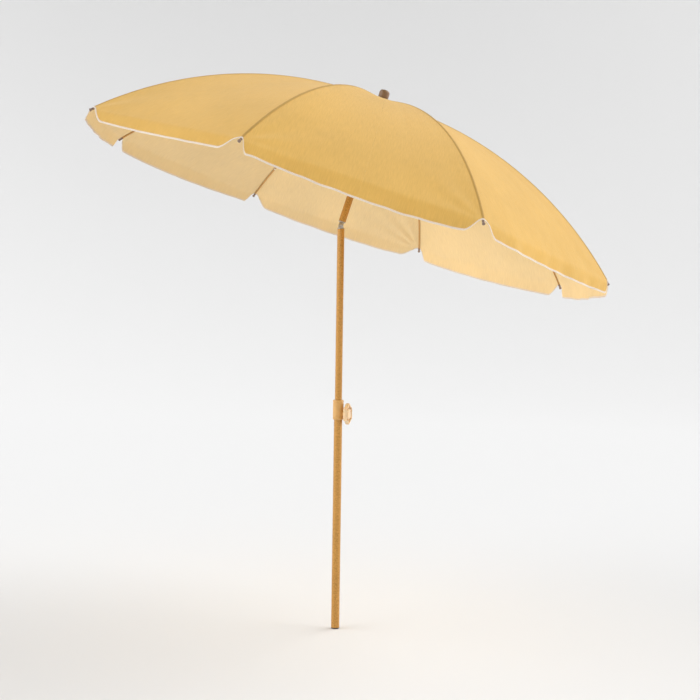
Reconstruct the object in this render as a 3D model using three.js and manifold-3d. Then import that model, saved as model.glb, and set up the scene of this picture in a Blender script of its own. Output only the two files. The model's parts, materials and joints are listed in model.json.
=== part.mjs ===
// Beach umbrella with a telescopic pole, a tilt knuckle and eight folding ribs.
// Millimetres, +Z up along the lower pole. The origin is the centre of the foot plug's flat
// underside, and the canopy tilts towards +X. Everything above the tilt pin is drawn upright
// in a group of its own, whose origin is the pin, and that group is then leaned over.
import * as THREE from 'three';
import { mergeVertices } from 'three/addons/utils/BufferGeometryUtils.js';
import Module from 'manifold-3d';

const wasm = await Module();
wasm.setup();

// ---- driving dimensions ----
const PIVOT_HEIGHT = 1350;
const TILT = THREE.MathUtils.degToRad(17.5);
const GAP = 0.3;                      // between pieces that touch

const LOWER_POLE_RADIUS = 14;
const UPPER_POLE_RADIUS = 12;
const TUBE_WALL = 1.2;
const COLLAR_TOP = 768;
const COLLAR_HEIGHT = 66;
const COLLAR_RADIUS = 18;
const KNOB_HEIGHT = 722;
const KNOB_BEARING = THREE.MathUtils.degToRad(-20);
const KNOB_RADIUS = 36;
const KNOB_LOBES = 6;
const SCREW_RADIUS = 3.8;
const UPPER_POLE_INSIDE = 130;        // how far the upper pole reaches below the collar

const RIB_COUNT = 8;
const FIRST_RIB = THREE.MathUtils.degToRad(-157.5);
const RIB_REACH = 900;                // pole axis to rib tip
const RIB_TIP_HEIGHT = 67.5;          // rib tips above the tilt pin
const RIB_BEND = 1275;                // radius that the taut cloth bows a rib to
const RIB_RADIUS = 2.5;
const HUB_PIVOT_RADIUS = 22;
const HUB_PIVOT_HEIGHT = 428;
const RIB_STEPS = 8;

const LUG_PLACE = 180;                // along the rib from the hub
const LUG_DROP = 8;
const STRETCHER_RADIUS = 2.2;
const RUNNER_PIVOT_RADIUS = 25;
const RUNNER_PIVOT_HEIGHT = 308;
const PIN_HOLE = 1.3;

const CLOTH = 1.2;
const CLOTH_LIFT = 3.4;               // the cloth's underside above a rib's centre line
const CLOTH_INNER = 12;
const CLOTH_SAG = 10;                 // half-way between two ribs
const VALANCE = 45;
const FINIAL_RADIUS = 17.5;
const FINIAL_TOP = 472;

// ---- materials ----
function finish(color, roughness, metalness) {
  return new THREE.MeshStandardMaterial({ color, roughness, metalness });
}
const paintedSteel = finish('#c58f45', 0.35, 0.3);
const goldPlastic = finish('#c99b55', 0.4, 0.0);
const knobPlastic = finish('#dcb98a', 0.35, 0.0);
const bareSteel = finish('#b4b0aa', 0.35, 0.9);
const ribSteel = finish('#8a7a55', 0.4, 0.6);
const darkPlastic = finish('#5f5650', 0.5, 0.0);
const brownPlastic = finish('#8b6a3c', 0.4, 0.0);
const yellowCloth = finish('#e6bb6c', 0.8, 0.0);

// ---- shapes ----
function solid(geometry) {
  const bare = geometry.index ? geometry.toNonIndexed() : geometry;
  bare.deleteAttribute('normal');
  bare.deleteAttribute('uv');
  const merged = mergeVertices(bare, 1e-4);
  return new wasm.Manifold(new wasm.Mesh({
    numProp: 3,
    vertProperties: Float32Array.from(merged.attributes.position.array),
    triVerts: Uint32Array.from(merged.index.array),
  }));
}

function named(name, shape, material) {
  const { vertProperties, triVerts } = shape.getMesh();
  const geometry = new THREE.BufferGeometry();
  geometry.setAttribute('position', new THREE.BufferAttribute(vertProperties, 3));
  geometry.setIndex(new THREE.BufferAttribute(triVerts, 1));
  geometry.computeVertexNormals();
  const mesh = new THREE.Mesh(geometry, material);
  mesh.name = name;
  return mesh;
}

// a turned piece: [radius, height] points, about Z
function turned(profile, sides = 24) {
  const points = profile.map(([radius, height]) => new THREE.Vector2(radius, height));
  return solid(new THREE.LatheGeometry(points, sides).rotateX(Math.PI / 2));
}

function disc(radius, low, high, sides) {
  return turned([[0, low], [radius, low], [radius, high], [0, high]], sides);
}

function tube(outer, inner, low, high, sides) {
  return turned([[inner, low], [outer, low], [outer, high], [inner, high], [inner, low]], sides);
}

function block(sizeX, sizeY, sizeZ, x, y, z) {
  return solid(new THREE.BoxGeometry(sizeX, sizeY, sizeZ).translate(x, y, z));
}

// a round bar along Y, for eyes, cheeks, pins and their holes
function crossBar(radius, length, x, y, z, sides = 12) {
  return solid(new THREE.CylinderGeometry(radius, radius, length, sides).translate(x, y, z));
}

// a round bar along X, for the clamp screw and its holes
function sideBar(radius, from, to, sides = 16) {
  const bar = new THREE.CylinderGeometry(radius, radius, to - from, sides);
  return solid(bar.rotateZ(Math.PI / 2).translate((from + to) / 2, 0, 0));
}

function circleShape(radius, sides) {
  const points = Array.from({ length: sides }, (_, k) => {
    const angle = 2 * Math.PI * k / sides;
    return new THREE.Vector2(radius * Math.cos(angle), radius * Math.sin(angle));
  });
  return new THREE.Shape(points);
}

function rodAlong(path, radius, sides, steps) {
  return solid(new THREE.ExtrudeGeometry(circleShape(radius, sides), { extrudePath: path, steps }));
}

function straightRod(from, to, radius) {
  return rodAlong(new THREE.LineCurve3(from, to), radius, 6, 1);
}

// ---- the rib's bow, in its own upright plane: X outwards from the pole, Z up ----
const hubPivot = new THREE.Vector2(HUB_PIVOT_RADIUS, HUB_PIVOT_HEIGHT);
const ribTip = new THREE.Vector2(RIB_REACH, RIB_TIP_HEIGHT);
const ribChord = ribTip.clone().sub(hubPivot);
const halfBow = Math.asin(ribChord.length() / 2 / RIB_BEND);
const ribStartSlope = ribChord.angle() - 2 * Math.PI + halfBow;
const RIB_LENGTH = 2 * halfBow * RIB_BEND;

function ribSlope(distance) {
  return ribStartSlope - distance / RIB_BEND;
}

// the point at a distance along the rib, and so far above its centre line
function ribPoint(distance, above = 0) {
  const slope = ribSlope(distance);
  return new THREE.Vector2(
    hubPivot.x + RIB_BEND * (Math.sin(ribStartSlope) - Math.sin(slope)) - above * Math.sin(slope),
    hubPivot.y + RIB_BEND * (Math.cos(slope) - Math.cos(ribStartSlope)) + above * Math.cos(slope),
  );
}

class RibCurve extends THREE.Curve {
  constructor(start, end) {
    super();
    this.start = start;
    this.end = end;
  }

  getPoint(t) {
    const { x, y } = ribPoint(THREE.MathUtils.lerp(this.start, this.end, t));
    return new THREE.Vector3(x, 0, y);
  }
}

// ---- pole ----
function aboutKnobBearing(shape) {
  return shape.rotate([0, 0, THREE.MathUtils.radToDeg(KNOB_BEARING)])
    .translate([0, 0, KNOB_HEIGHT]);
}

const SCREW_HOLE = SCREW_RADIUS + 0.5;
const LOWER_POLE_TOP = COLLAR_TOP - 3;
const FOOT_FLANGE = 3;
const FOOT_FLOOR = 8;
const FOOT_DEPTH = 28;
const FOOT_WALL = 2.5;

// a cup pushed into the tube, tapered so that it wedges
function footPlug() {
  const bore = LOWER_POLE_RADIUS - TUBE_WALL - GAP;
  const taper = 1;
  return turned([
    [0, 0], [LOWER_POLE_RADIUS, 0], [LOWER_POLE_RADIUS, FOOT_FLANGE],
    [bore, FOOT_FLANGE], [bore - taper, FOOT_DEPTH], [bore - taper - FOOT_WALL, FOOT_DEPTH],
    [bore - FOOT_WALL, FOOT_FLOOR], [0, FOOT_FLOOR],
  ]);
}

function lowerPole() {
  const inner = LOWER_POLE_RADIUS - TUBE_WALL;
  const pole = tube(LOWER_POLE_RADIUS, inner, FOOT_FLANGE + GAP, LOWER_POLE_TOP);
  return pole.subtract(aboutKnobBearing(sideBar(SCREW_HOLE, 5, 20)));
}

const BOSS_RADIUS = 9;
const BOSS_REACH = 6.5;

function clampCollar() {
  const inner = LOWER_POLE_RADIUS + GAP;
  const lip = UPPER_POLE_RADIUS + 0.6;
  const low = COLLAR_TOP - COLLAR_HEIGHT;
  const body = turned([
    [inner, low], [COLLAR_RADIUS - 1, low], [COLLAR_RADIUS, low + 2],
    [COLLAR_RADIUS, COLLAR_TOP - 2], [COLLAR_RADIUS - 1, COLLAR_TOP], [lip, COLLAR_TOP],
    [lip, LOWER_POLE_TOP + GAP], [inner, LOWER_POLE_TOP + GAP], [inner, low],
  ]);
  const boss = aboutKnobBearing(sideBar(BOSS_RADIUS, inner + 1, COLLAR_RADIUS + BOSS_REACH));
  return body.add(boss).subtract(aboutKnobBearing(sideBar(SCREW_HOLE, 5, 40)));
}

const PAD_INNER = UPPER_POLE_RADIUS + 0.35;
const PAD_OUTER = PAD_INNER + 1.6;
const KNOB_INNER = COLLAR_RADIUS + BOSS_REACH + 2;
const KNOB_OUTER = 42;
const KNOB_BEVEL = 2.5;
const LOBE_DEPTH = 2.5;
const DOME_DEPTH = 6;
const DOME_RADIUS = 22;

function pressurePad() {
  return aboutKnobBearing(sideBar(SCREW_RADIUS, PAD_INNER, PAD_OUTER));
}

// a lobed hand knob on its screw
function clampKnob() {
  const outline = [];
  const pointsPerLobe = 6;
  for (let k = 0; k < KNOB_LOBES * pointsPerLobe; k += 1) {
    const angle = 2 * Math.PI * k / (KNOB_LOBES * pointsPerLobe);
    const radius = KNOB_RADIUS - KNOB_BEVEL - LOBE_DEPTH * (1 - Math.cos(KNOB_LOBES * angle));
    outline.push(new THREE.Vector2(radius * Math.cos(angle), radius * Math.sin(angle)));
  }
  const hand = new THREE.ExtrudeGeometry(new THREE.Shape(outline), {
    depth: KNOB_OUTER - KNOB_INNER - 2 * KNOB_BEVEL - DOME_DEPTH / 2,
    bevelThickness: KNOB_BEVEL, bevelSize: KNOB_BEVEL, bevelSegments: 1,
  }).translate(0, 0, KNOB_INNER + KNOB_BEVEL).rotateX(Math.PI / 2).rotateZ(Math.PI / 2);
  const domed = turned([
    [0, KNOB_OUTER - DOME_DEPTH], [DOME_RADIUS, KNOB_OUTER - DOME_DEPTH],
    [DOME_RADIUS * 0.8, KNOB_OUTER - DOME_DEPTH / 4], [DOME_RADIUS * 0.45, KNOB_OUTER],
    [0, KNOB_OUTER],
  ], 18).rotate([0, 90, 0]);
  const screw = sideBar(SCREW_RADIUS, PAD_OUTER + GAP, KNOB_INNER + 4);
  return aboutKnobBearing(solid(hand).add(domed).add(screw));
}

// ---- tilt knuckle: a fork in the upper pole, a tongue in the top pole, one pin ----
const SHOULDER = 3;
const FORK_SHOULDER = -9;             // heights here are above the pin
const TONGUE_SHOULDER = 10;
const EAR_RADIUS = 8;
const EAR_INSIDE = 4.4;
const EAR_OUTSIDE = 8.2;
const PLUG_RADIUS = UPPER_POLE_RADIUS - TUBE_WALL - GAP;
const PLUG_LENGTH = 40;
const TILT_PIN_RADIUS = 2.9;
const BUTTON_DROP = 30;
const BUTTON_RADIUS = 3.4;

function upperPole() {
  const low = LOWER_POLE_TOP - UPPER_POLE_INSIDE;
  const high = PIVOT_HEIGHT + FORK_SHOULDER - SHOULDER - GAP;
  const window = crossBar(BUTTON_RADIUS + 0.5, 10, 0, UPPER_POLE_RADIUS,
    PIVOT_HEIGHT - BUTTON_DROP, 24);
  return tube(UPPER_POLE_RADIUS, UPPER_POLE_RADIUS - TUBE_WALL, low, high).subtract(window);
}

function tiltFork() {
  const plugLow = FORK_SHOULDER - SHOULDER - PLUG_LENGTH;
  let fork = disc(PLUG_RADIUS, plugLow, FORK_SHOULDER - 1)
    .add(disc(UPPER_POLE_RADIUS, FORK_SHOULDER - SHOULDER, FORK_SHOULDER));
  const thick = EAR_OUTSIDE - EAR_INSIDE;
  for (const side of [-1, 1]) {
    const y = side * (EAR_INSIDE + thick / 2);
    const root = block(2 * EAR_RADIUS, thick, -FORK_SHOULDER + 1, 0, y, (FORK_SHOULDER - 1) / 2);
    fork = fork.add(root).add(crossBar(EAR_RADIUS, thick, 0, y, 0, 24));
  }
  const buttonBore = crossBar(BUTTON_RADIUS + 0.5, 20, 0, 3.5, -BUTTON_DROP, 24);
  return fork.subtract(crossBar(TILT_PIN_RADIUS + GAP, 30, 0, 0, 0)).subtract(buttonBore)
    .translate([0, 0, PIVOT_HEIGHT]);
}

function tiltTongue() {
  const thick = 2 * (EAR_INSIDE - 0.5);
  const width = 2 * EAR_RADIUS - 1;
  return disc(PLUG_RADIUS, TONGUE_SHOULDER + 1, TONGUE_SHOULDER + SHOULDER + PLUG_LENGTH)
    .add(disc(UPPER_POLE_RADIUS, TONGUE_SHOULDER, TONGUE_SHOULDER + SHOULDER))
    .add(block(width, thick, TONGUE_SHOULDER + 1, 0, 0, (TONGUE_SHOULDER + 1) / 2))
    .add(crossBar(width / 2, thick, 0, 0, 0, 24))
    .subtract(crossBar(TILT_PIN_RADIUS + GAP, 30, 0, 0, 0));
}

function tiltPin() {
  const headInside = EAR_OUTSIDE + GAP;
  const head = 1.8;
  const shank = crossBar(TILT_PIN_RADIUS, 2 * headInside + 1, 0, 0, 0);
  const heads = [-1, 1].map((side) => (
    crossBar(4.6, head, 0, side * (headInside + head / 2), 0, 24)
  ));
  return shank.add(heads[0]).add(heads[1]);
}

const BUTTON_BACK = 4;
const BUTTON_PROUD = 2.2;
const SPRING_END = -6;
const SPRING_WIRE = 0.35;
const SPRING_RADIUS = 2.4;
const SPRING_TURNS = 4;

function tiltButton() {
  const length = UPPER_POLE_RADIUS + BUTTON_PROUD - BUTTON_BACK;
  return crossBar(BUTTON_RADIUS, length, 0, BUTTON_BACK + length / 2,
    PIVOT_HEIGHT - BUTTON_DROP, 24);
}

class SpringCurve extends THREE.Curve {
  getPoint(t) {
    const angle = 2 * Math.PI * SPRING_TURNS * t;
    const clear = SPRING_WIRE + GAP;
    const y = THREE.MathUtils.lerp(SPRING_END + clear, BUTTON_BACK - clear, t);
    return new THREE.Vector3(
      SPRING_RADIUS * Math.cos(angle), y,
      PIVOT_HEIGHT - BUTTON_DROP + SPRING_RADIUS * Math.sin(angle),
    );
  }
}

function tiltSpring() {
  return rodAlong(new SpringCurve(), SPRING_WIRE, 4, 8 * SPRING_TURNS);
}

// ---- top pole, runner, hub and finial ----
const CATCH_LOW = 236;
const CATCH_HIGH = 262;
const CATCH_THICK = 2.4;
const CATCH_PROUD = 3;
const POLE_TOP = 430;

function topPole() {
  const slot = block(CATCH_THICK + 1, 12, CATCH_HIGH - CATCH_LOW + 3, 0, UPPER_POLE_RADIUS,
    (CATCH_LOW + CATCH_HIGH) / 2);
  const low = TONGUE_SHOULDER + SHOULDER + GAP;
  return tube(UPPER_POLE_RADIUS, UPPER_POLE_RADIUS - TUBE_WALL, low, POLE_TOP).subtract(slot);
}

// a leaf of spring steel whose step sticks out of the pole and carries the runner
function runnerCatch() {
  const proud = UPPER_POLE_RADIUS + CATCH_PROUD;
  const leaf = new THREE.Shape();
  leaf.moveTo(6, CATCH_LOW);
  leaf.lineTo(UPPER_POLE_RADIUS - 1, CATCH_LOW);
  leaf.lineTo(proud, CATCH_HIGH - 3);
  leaf.lineTo(proud, CATCH_HIGH);
  leaf.lineTo(6, CATCH_HIGH);
  const plate = new THREE.ExtrudeGeometry(leaf, { depth: CATCH_THICK, bevelEnabled: false });
  return solid(plate.rotateX(Math.PI / 2).translate(0, CATCH_THICK / 2, 0).rotateZ(Math.PI / 2));
}

function radialNotches(inner, outer, width, low, high) {
  const middle = (inner + outer) / 2;
  return Array.from({ length: RIB_COUNT }, (_, k) => {
    const notch = block(outer - inner, width, high - low, middle, 0, (low + high) / 2);
    return notch.rotate([0, 0, THREE.MathUtils.radToDeg(ribBearing(k))]);
  }).reduce((all, notch) => all.add(notch));
}

function ribBearing(index) {
  return FIRST_RIB + index * 2 * Math.PI / RIB_COUNT;
}

function runner() {
  const bore = UPPER_POLE_RADIUS + 0.6;
  const sleeve = bore + 3;
  const rim = RUNNER_PIVOT_RADIUS + 6;
  const mid = RUNNER_PIVOT_HEIGHT;
  const body = turned([
    [bore, CATCH_HIGH + 1], [sleeve + 3, CATCH_HIGH + 1], [sleeve, CATCH_HIGH + 9],
    [sleeve, mid - 6], [rim, mid - 5], [rim, mid + 5], [sleeve, mid + 6],
    [sleeve, mid + 14], [bore, mid + 14], [bore, CATCH_HIGH + 1],
  ]);
  return body.subtract(radialNotches(sleeve + 4, rim + 5, 5.4, mid - 20, mid + 20));
}

const HUB_TOP = 434.5;

function hub() {
  const socket = UPPER_POLE_RADIUS + GAP;
  const skirt = socket + 3;
  const rim = HUB_PIVOT_RADIUS + 8;
  const body = turned([
    [socket, 400], [skirt, 400], [skirt, 418], [rim, 420], [rim, HUB_TOP - 2],
    [rim - 3, HUB_TOP], [5.5, HUB_TOP], [5.5, POLE_TOP + GAP], [socket, POLE_TOP + GAP],
    [socket, 400],
  ]);
  const wireGroove = tube(HUB_PIVOT_RADIUS + 1.7, HUB_PIVOT_RADIUS - 1.7,
    HUB_PIVOT_HEIGHT - 1.7, HUB_TOP + 5);
  return body.subtract(radialNotches(skirt + 0.5, rim + 5, 5, 410, 433))
    .subtract(wireGroove);
}

function hubWire() {
  const wire = 1.1;
  const sides = 5;
  const section = Array.from({ length: sides + 1 }, (_, k) => {
    const angle = 2 * Math.PI * (k % sides) / sides;
    return [HUB_PIVOT_RADIUS + wire * Math.cos(angle), HUB_PIVOT_HEIGHT + wire * Math.sin(angle)];
  });
  return turned(section, 24);
}

function finial() {
  const low = FINIAL_TOP - 32;
  const r = FINIAL_RADIUS;
  return turned([
    [0, low - 7], [5, low - 7], [5, low], [r, low], [r, FINIAL_TOP - 12],
    [r - 1, FINIAL_TOP - 6], [r - 4, FINIAL_TOP - 2], [r - 8.5, FINIAL_TOP - 0.4],
    [0, FINIAL_TOP],
  ]);
}

// ---- ribs, stretchers and tips, each drawn in its rib's plane ----
const lugTop = ribPoint(LUG_PLACE);
const lugPivot = ribPoint(LUG_PLACE, -LUG_DROP);
const runnerPivot = new THREE.Vector2(RUNNER_PIVOT_RADIUS, RUNNER_PIVOT_HEIGHT);
const TIP_OVERLAP = 9;

function rib() {
  const rod = rodAlong(new RibCurve(2, RIB_LENGTH), RIB_RADIUS, 6, RIB_STEPS);
  const eye = crossBar(4, 3.4, hubPivot.x, 0, hubPivot.y, 8);
  const lug = crossBar(3.6, 2.4, lugPivot.x, 0, lugPivot.y, 8);
  const neck = solid(new THREE.BoxGeometry(6, 2.4, LUG_DROP).rotateY(-ribSlope(LUG_PLACE))
    .translate((lugTop.x + lugPivot.x) / 2, 0, (lugTop.y + lugPivot.y) / 2));
  return rod.add(eye).add(lug).add(neck)
    .subtract(crossBar(1.7, 10, hubPivot.x, 0, hubPivot.y, 6))
    .subtract(crossBar(PIN_HOLE, 10, lugPivot.x, 0, lugPivot.y, 6));
}

function stretcher() {
  const along = runnerPivot.clone().sub(lugPivot).normalize();
  const at = (distance) => {
    const point = lugPivot.clone().addScaledVector(along, distance);
    return new THREE.Vector3(point.x, 0, point.y);
  };
  const length = runnerPivot.distanceTo(lugPivot);
  const cheekInside = 1.7;
  const cheekThick = 1.5;
  const yoke = new THREE.BoxGeometry(6, 2 * (cheekInside + cheekThick), 4.5)
    .rotateY(-along.angle()).translate(at(8).x, 0, at(8).z);
  let body = straightRod(at(7), at(length - 2), STRETCHER_RADIUS).add(solid(yoke));
  for (const side of [-1, 1]) {
    const y = side * (cheekInside + cheekThick / 2);
    const arm = new THREE.BoxGeometry(8, cheekThick, 4.5)
      .rotateY(-along.angle()).translate(at(4).x, y, at(4).z);
    body = body.add(crossBar(3.4, cheekThick, lugPivot.x, y, lugPivot.y, 8)).add(solid(arm));
  }
  return body.add(crossBar(3.5, 3, runnerPivot.x, 0, runnerPivot.y, 8))
    .subtract(crossBar(PIN_HOLE, 10, lugPivot.x, 0, lugPivot.y, 6))
    .subtract(crossBar(PIN_HOLE, 10, runnerPivot.x, 0, runnerPivot.y, 6));
}

function ribTipCap() {
  const cap = turned([
    [0, -TIP_OVERLAP], [3.6, -TIP_OVERLAP], [4, -TIP_OVERLAP + 1.5], [4, 4], [5.4, 6], [5.4, 9],
    [3.5, 11], [0, 11],
  ], 8);
  const bore = disc(RIB_RADIUS + 2 * GAP, -TIP_OVERLAP - 5, GAP, 8);
  const outwards = THREE.MathUtils.radToDeg(Math.PI / 2 - ribSlope(RIB_LENGTH - TIP_OVERLAP / 2));
  return cap.subtract(bore).rotate([0, outwards, 0]).translate([ribTip.x, 0, ribTip.y]);
}

// ---- canopy: each gore is cut in two along its middle, where it folds ----
const HALF_GORE = Math.PI / RIB_COUNT;
const OVER_HUB = 6.5;                 // the extra rise that carries the cloth over the hub
const OVER_HUB_REACH = 120;
const VALANCE_LEAN = 0.35;
const CLOTH_END = RIB_LENGTH - TIP_OVERLAP - 3;
const CLOTH_COLUMNS = [0, 0.04, 0.14, 1];
const VALANCE_ROWS = [0.45, 1];

// the cloth's underside in a rib's plane: it lies on the ribs, and over the hub in the middle
function clothLine(distance, above) {
  const overHub = OVER_HUB * Math.max(0, 1 - distance / OVER_HUB_REACH) ** 2;
  return ribPoint(distance, CLOTH_LIFT + overHub + above);
}

function clothRow(row, above) {
  if (row === 0) {
    return new THREE.Vector2(CLOTH_INNER, clothLine(0, above).y);
  }
  return clothLine(Math.min(row / RIB_STEPS * RIB_LENGTH, CLOTH_END), above);
}

// a point of the half gore: across runs from the rib, 0, to the gore's middle, 1
function clothPoint(row, across, above) {
  const rows = RIB_STEPS;
  const line = clothRow(Math.min(row, rows), above);
  const out = line.x * Math.cos(HALF_GORE);
  const half = Math.max(line.x * Math.sin(HALF_GORE) - 0.5, 1);
  const share = Math.min(row / rows, 1);
  const sag = CLOTH_SAG * 4 * share * (1 - share) * across * (2 - across);
  const point = new THREE.Vector3(out, THREE.MathUtils.lerp(-half, -0.5, across), line.y - sag);
  if (row > rows) {
    const fullness = THREE.MathUtils.smoothstep(across, 0.03, 0.14);
    const drop = VALANCE * VALANCE_ROWS[row - rows - 1] * Math.max(fullness, 0.03);
    point.x += VALANCE_LEAN * drop;
    point.z -= drop;
  }
  return point;
}

function halfGore() {
  const rows = RIB_STEPS + VALANCE_ROWS.length + 1;
  const columns = CLOTH_COLUMNS.length;
  const positions = [];
  for (const above of [0, CLOTH]) {
    for (let row = 0; row < rows; row += 1) {
      for (const across of CLOTH_COLUMNS) {
        positions.push(...clothPoint(row, across, above).toArray());
      }
    }
  }
  const at = (layer, row, column) => (layer * rows + row) * columns + column;
  const index = [];
  const quad = (a, b, c, d) => index.push(a, b, c, a, c, d);
  for (let row = 0; row < rows - 1; row += 1) {
    for (let column = 0; column < columns - 1; column += 1) {
      quad(at(1, row, column), at(1, row + 1, column), at(1, row + 1, column + 1),
        at(1, row, column + 1));
      quad(at(0, row, column), at(0, row, column + 1), at(0, row + 1, column + 1),
        at(0, row + 1, column));
    }
    quad(at(0, row, 0), at(0, row + 1, 0), at(1, row + 1, 0), at(1, row, 0));
    quad(at(0, row, columns - 1), at(1, row, columns - 1), at(1, row + 1, columns - 1),
      at(0, row + 1, columns - 1));
  }
  for (let column = 0; column < columns - 1; column += 1) {
    quad(at(0, 0, column), at(1, 0, column), at(1, 0, column + 1), at(0, 0, column + 1));
    const last = rows - 1;
    quad(at(0, last, column), at(0, last, column + 1), at(1, last, column + 1),
      at(1, last, column));
  }
  const geometry = new THREE.BufferGeometry();
  geometry.setAttribute('position', new THREE.Float32BufferAttribute(positions, 3));
  geometry.setIndex(index);
  return solid(geometry);
}

// ---- assembly ----
const umbrella = new THREE.Group();
umbrella.add(
  named('foot_plug', footPlug(), darkPlastic),
  named('lower_pole', lowerPole(), paintedSteel),
  named('clamp_collar', clampCollar(), goldPlastic),
  named('pressure_pad', pressurePad(), darkPlastic),
  named('clamp_knob', clampKnob(), knobPlastic),
  named('upper_pole', upperPole(), paintedSteel),
  named('tilt_fork', tiltFork(), bareSteel),
  named('tilt_button', tiltButton(), bareSteel),
  named('tilt_spring', tiltSpring(), bareSteel),
);

const canopy = new THREE.Group();
canopy.position.z = PIVOT_HEIGHT;
canopy.rotation.y = TILT;
canopy.add(
  named('tilt_pin', tiltPin(), bareSteel),
  named('tilt_tongue', tiltTongue(), bareSteel),
  named('top_pole', topPole(), paintedSteel),
  named('runner_catch', runnerCatch(), bareSteel),
  named('runner', runner(), darkPlastic),
  named('hub', hub(), darkPlastic),
  named('hub_wire', hubWire(), bareSteel),
  named('finial', finial(), brownPlastic),
);

const ribShape = rib();
const stretcherShape = stretcher();
const tipShape = ribTipCap();
const firstHalf = halfGore();
const secondHalf = firstHalf.mirror([0, 1, 0]);
for (let k = 0; k < RIB_COUNT; k += 1) {
  const number = k + 1;
  const plane = new THREE.Group();
  plane.rotation.z = ribBearing(k);
  plane.add(
    named(`rib_${number}`, ribShape, ribSteel),
    named(`stretcher_${number}`, stretcherShape, ribSteel),
    named(`rib_tip_${number}`, tipShape, darkPlastic),
  );
  const gore = new THREE.Group();
  gore.rotation.z = ribBearing(k) + HALF_GORE;
  gore.add(
    named(`gore_${number}_first`, firstHalf, yellowCloth),
    named(`gore_${number}_second`, secondHalf, yellowCloth),
  );
  canopy.add(plane, gore);
}
umbrella.add(canopy);

export default umbrella;
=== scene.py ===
# %% [markdown]
# # A beach umbrella, dressed piece by piece
# The frame holds every part of the umbrella as a plain solid, with its joints. This lesson gives
# those parts their real surfaces: sewn cloth, painted tube, plated steel and moulded plastic. The
# frame is loaded first, because every size and place below is read or worked out from it.

# %% Load the frame
import itertools
import json
import math

import bmesh
import bpy
import numpy as np
from mathutils import Matrix, Vector


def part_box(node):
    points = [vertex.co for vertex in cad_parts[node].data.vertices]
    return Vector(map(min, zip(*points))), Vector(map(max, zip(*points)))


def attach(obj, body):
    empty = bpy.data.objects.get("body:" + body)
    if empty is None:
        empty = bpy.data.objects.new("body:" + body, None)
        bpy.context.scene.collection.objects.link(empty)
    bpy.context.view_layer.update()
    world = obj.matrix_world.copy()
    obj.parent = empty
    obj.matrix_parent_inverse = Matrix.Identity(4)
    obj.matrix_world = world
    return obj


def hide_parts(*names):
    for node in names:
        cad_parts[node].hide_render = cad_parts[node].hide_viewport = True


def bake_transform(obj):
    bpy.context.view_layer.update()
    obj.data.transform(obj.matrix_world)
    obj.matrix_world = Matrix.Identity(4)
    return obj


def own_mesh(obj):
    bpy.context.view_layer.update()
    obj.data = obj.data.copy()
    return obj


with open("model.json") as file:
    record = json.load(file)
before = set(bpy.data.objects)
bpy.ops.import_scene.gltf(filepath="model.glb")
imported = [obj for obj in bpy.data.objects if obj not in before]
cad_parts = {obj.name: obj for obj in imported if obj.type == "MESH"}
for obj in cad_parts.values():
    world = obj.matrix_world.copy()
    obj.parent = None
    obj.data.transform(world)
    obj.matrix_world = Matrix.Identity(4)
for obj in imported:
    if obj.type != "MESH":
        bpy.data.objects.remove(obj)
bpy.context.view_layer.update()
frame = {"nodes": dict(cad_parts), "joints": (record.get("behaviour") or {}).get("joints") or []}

joints = {joint["name"]: joint for joint in frame["joints"]}

# %% [markdown]
# The canopy leans about the tilt pin, so everything above the pin is easiest to draw upright and
# then lean over. A matrix does that. The first rib's hinge says how far from the pole the ribs
# start, how high, and which way the first one points; the other seven are an eighth of a turn on.

# %% Places on the leaning head
pivot = Vector(joints["tilt"]["pos_m"])
lean = math.radians(-joints["tilt"]["range_deg"][0])
head_place = Matrix.Translation(pivot) @ Matrix.Rotation(lean, 4, "Y")
first_hinge = head_place.inverted() @ Vector(joints["rib_1_fold"]["pos_m"])
hub_radius = math.hypot(first_hinge.x, first_hinge.y)
hub_height = first_hinge.z
first_bearing = math.atan2(first_hinge.y, first_hinge.x)
RIB_COUNT = 8
HALF_GORE = math.pi / RIB_COUNT
NUMBERS = range(1, RIB_COUNT + 1)


def rib_place(number):
    """The upright plane of a rib: X outwards along the rib, Z along the pole."""
    bearing = first_bearing + (number - 1) * 2 * HALF_GORE
    return head_place @ Matrix.Rotation(bearing, 4, "Z")


def gore_place(number):
    """The same for the middle of the gore between a rib and the next one."""
    return rib_place(number) @ Matrix.Rotation(HALF_GORE, 4, "Z")


def local_box(node, place):
    """Lowest and highest corner of a CAD node, measured along a place's own axes."""
    back = np.array(place.inverted())
    points = np.array([v.co for v in frame["nodes"][node].data.vertices])
    points = points @ back[:3, :3].T + back[:3, 3]
    return points.min(0), points.max(0)


print("hub radius", round(hub_radius, 4), "height", round(hub_height, 4), "lean", round(lean, 4))

# %% [markdown]
# The camera looks almost level, a little from the left, so that both the outside of the near
# gores and the shaded inside of the far ones are seen. A camera in Blender looks along its own
# -Z, so its matrix is built from three directions: right, up and back.

# %% The camera
CAMERA_BEARING, CAMERA_RISE, CAMERA_ROLL = (math.radians(a) for a in (-2.97, 1.75, 0.84))
CAMERA_DISTANCE = 4.324
LOOK_HEIGHT = 0.6763
LOOK_RIGHT, LOOK_UP = 0.0401, 0.2581

back = Vector((
    math.sin(CAMERA_BEARING) * math.cos(CAMERA_RISE),
    -math.cos(CAMERA_BEARING) * math.cos(CAMERA_RISE),
    math.sin(CAMERA_RISE),
))
level_right = (-back).cross(Vector((0, 0, 1))).normalized()
level_up = back.cross(level_right)
right = level_right * math.cos(CAMERA_ROLL) + level_up * math.sin(CAMERA_ROLL)
up = level_up * math.cos(CAMERA_ROLL) - level_right * math.sin(CAMERA_ROLL)
look_at = Vector((0, 0, LOOK_HEIGHT)) + right * LOOK_RIGHT + up * LOOK_UP

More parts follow.
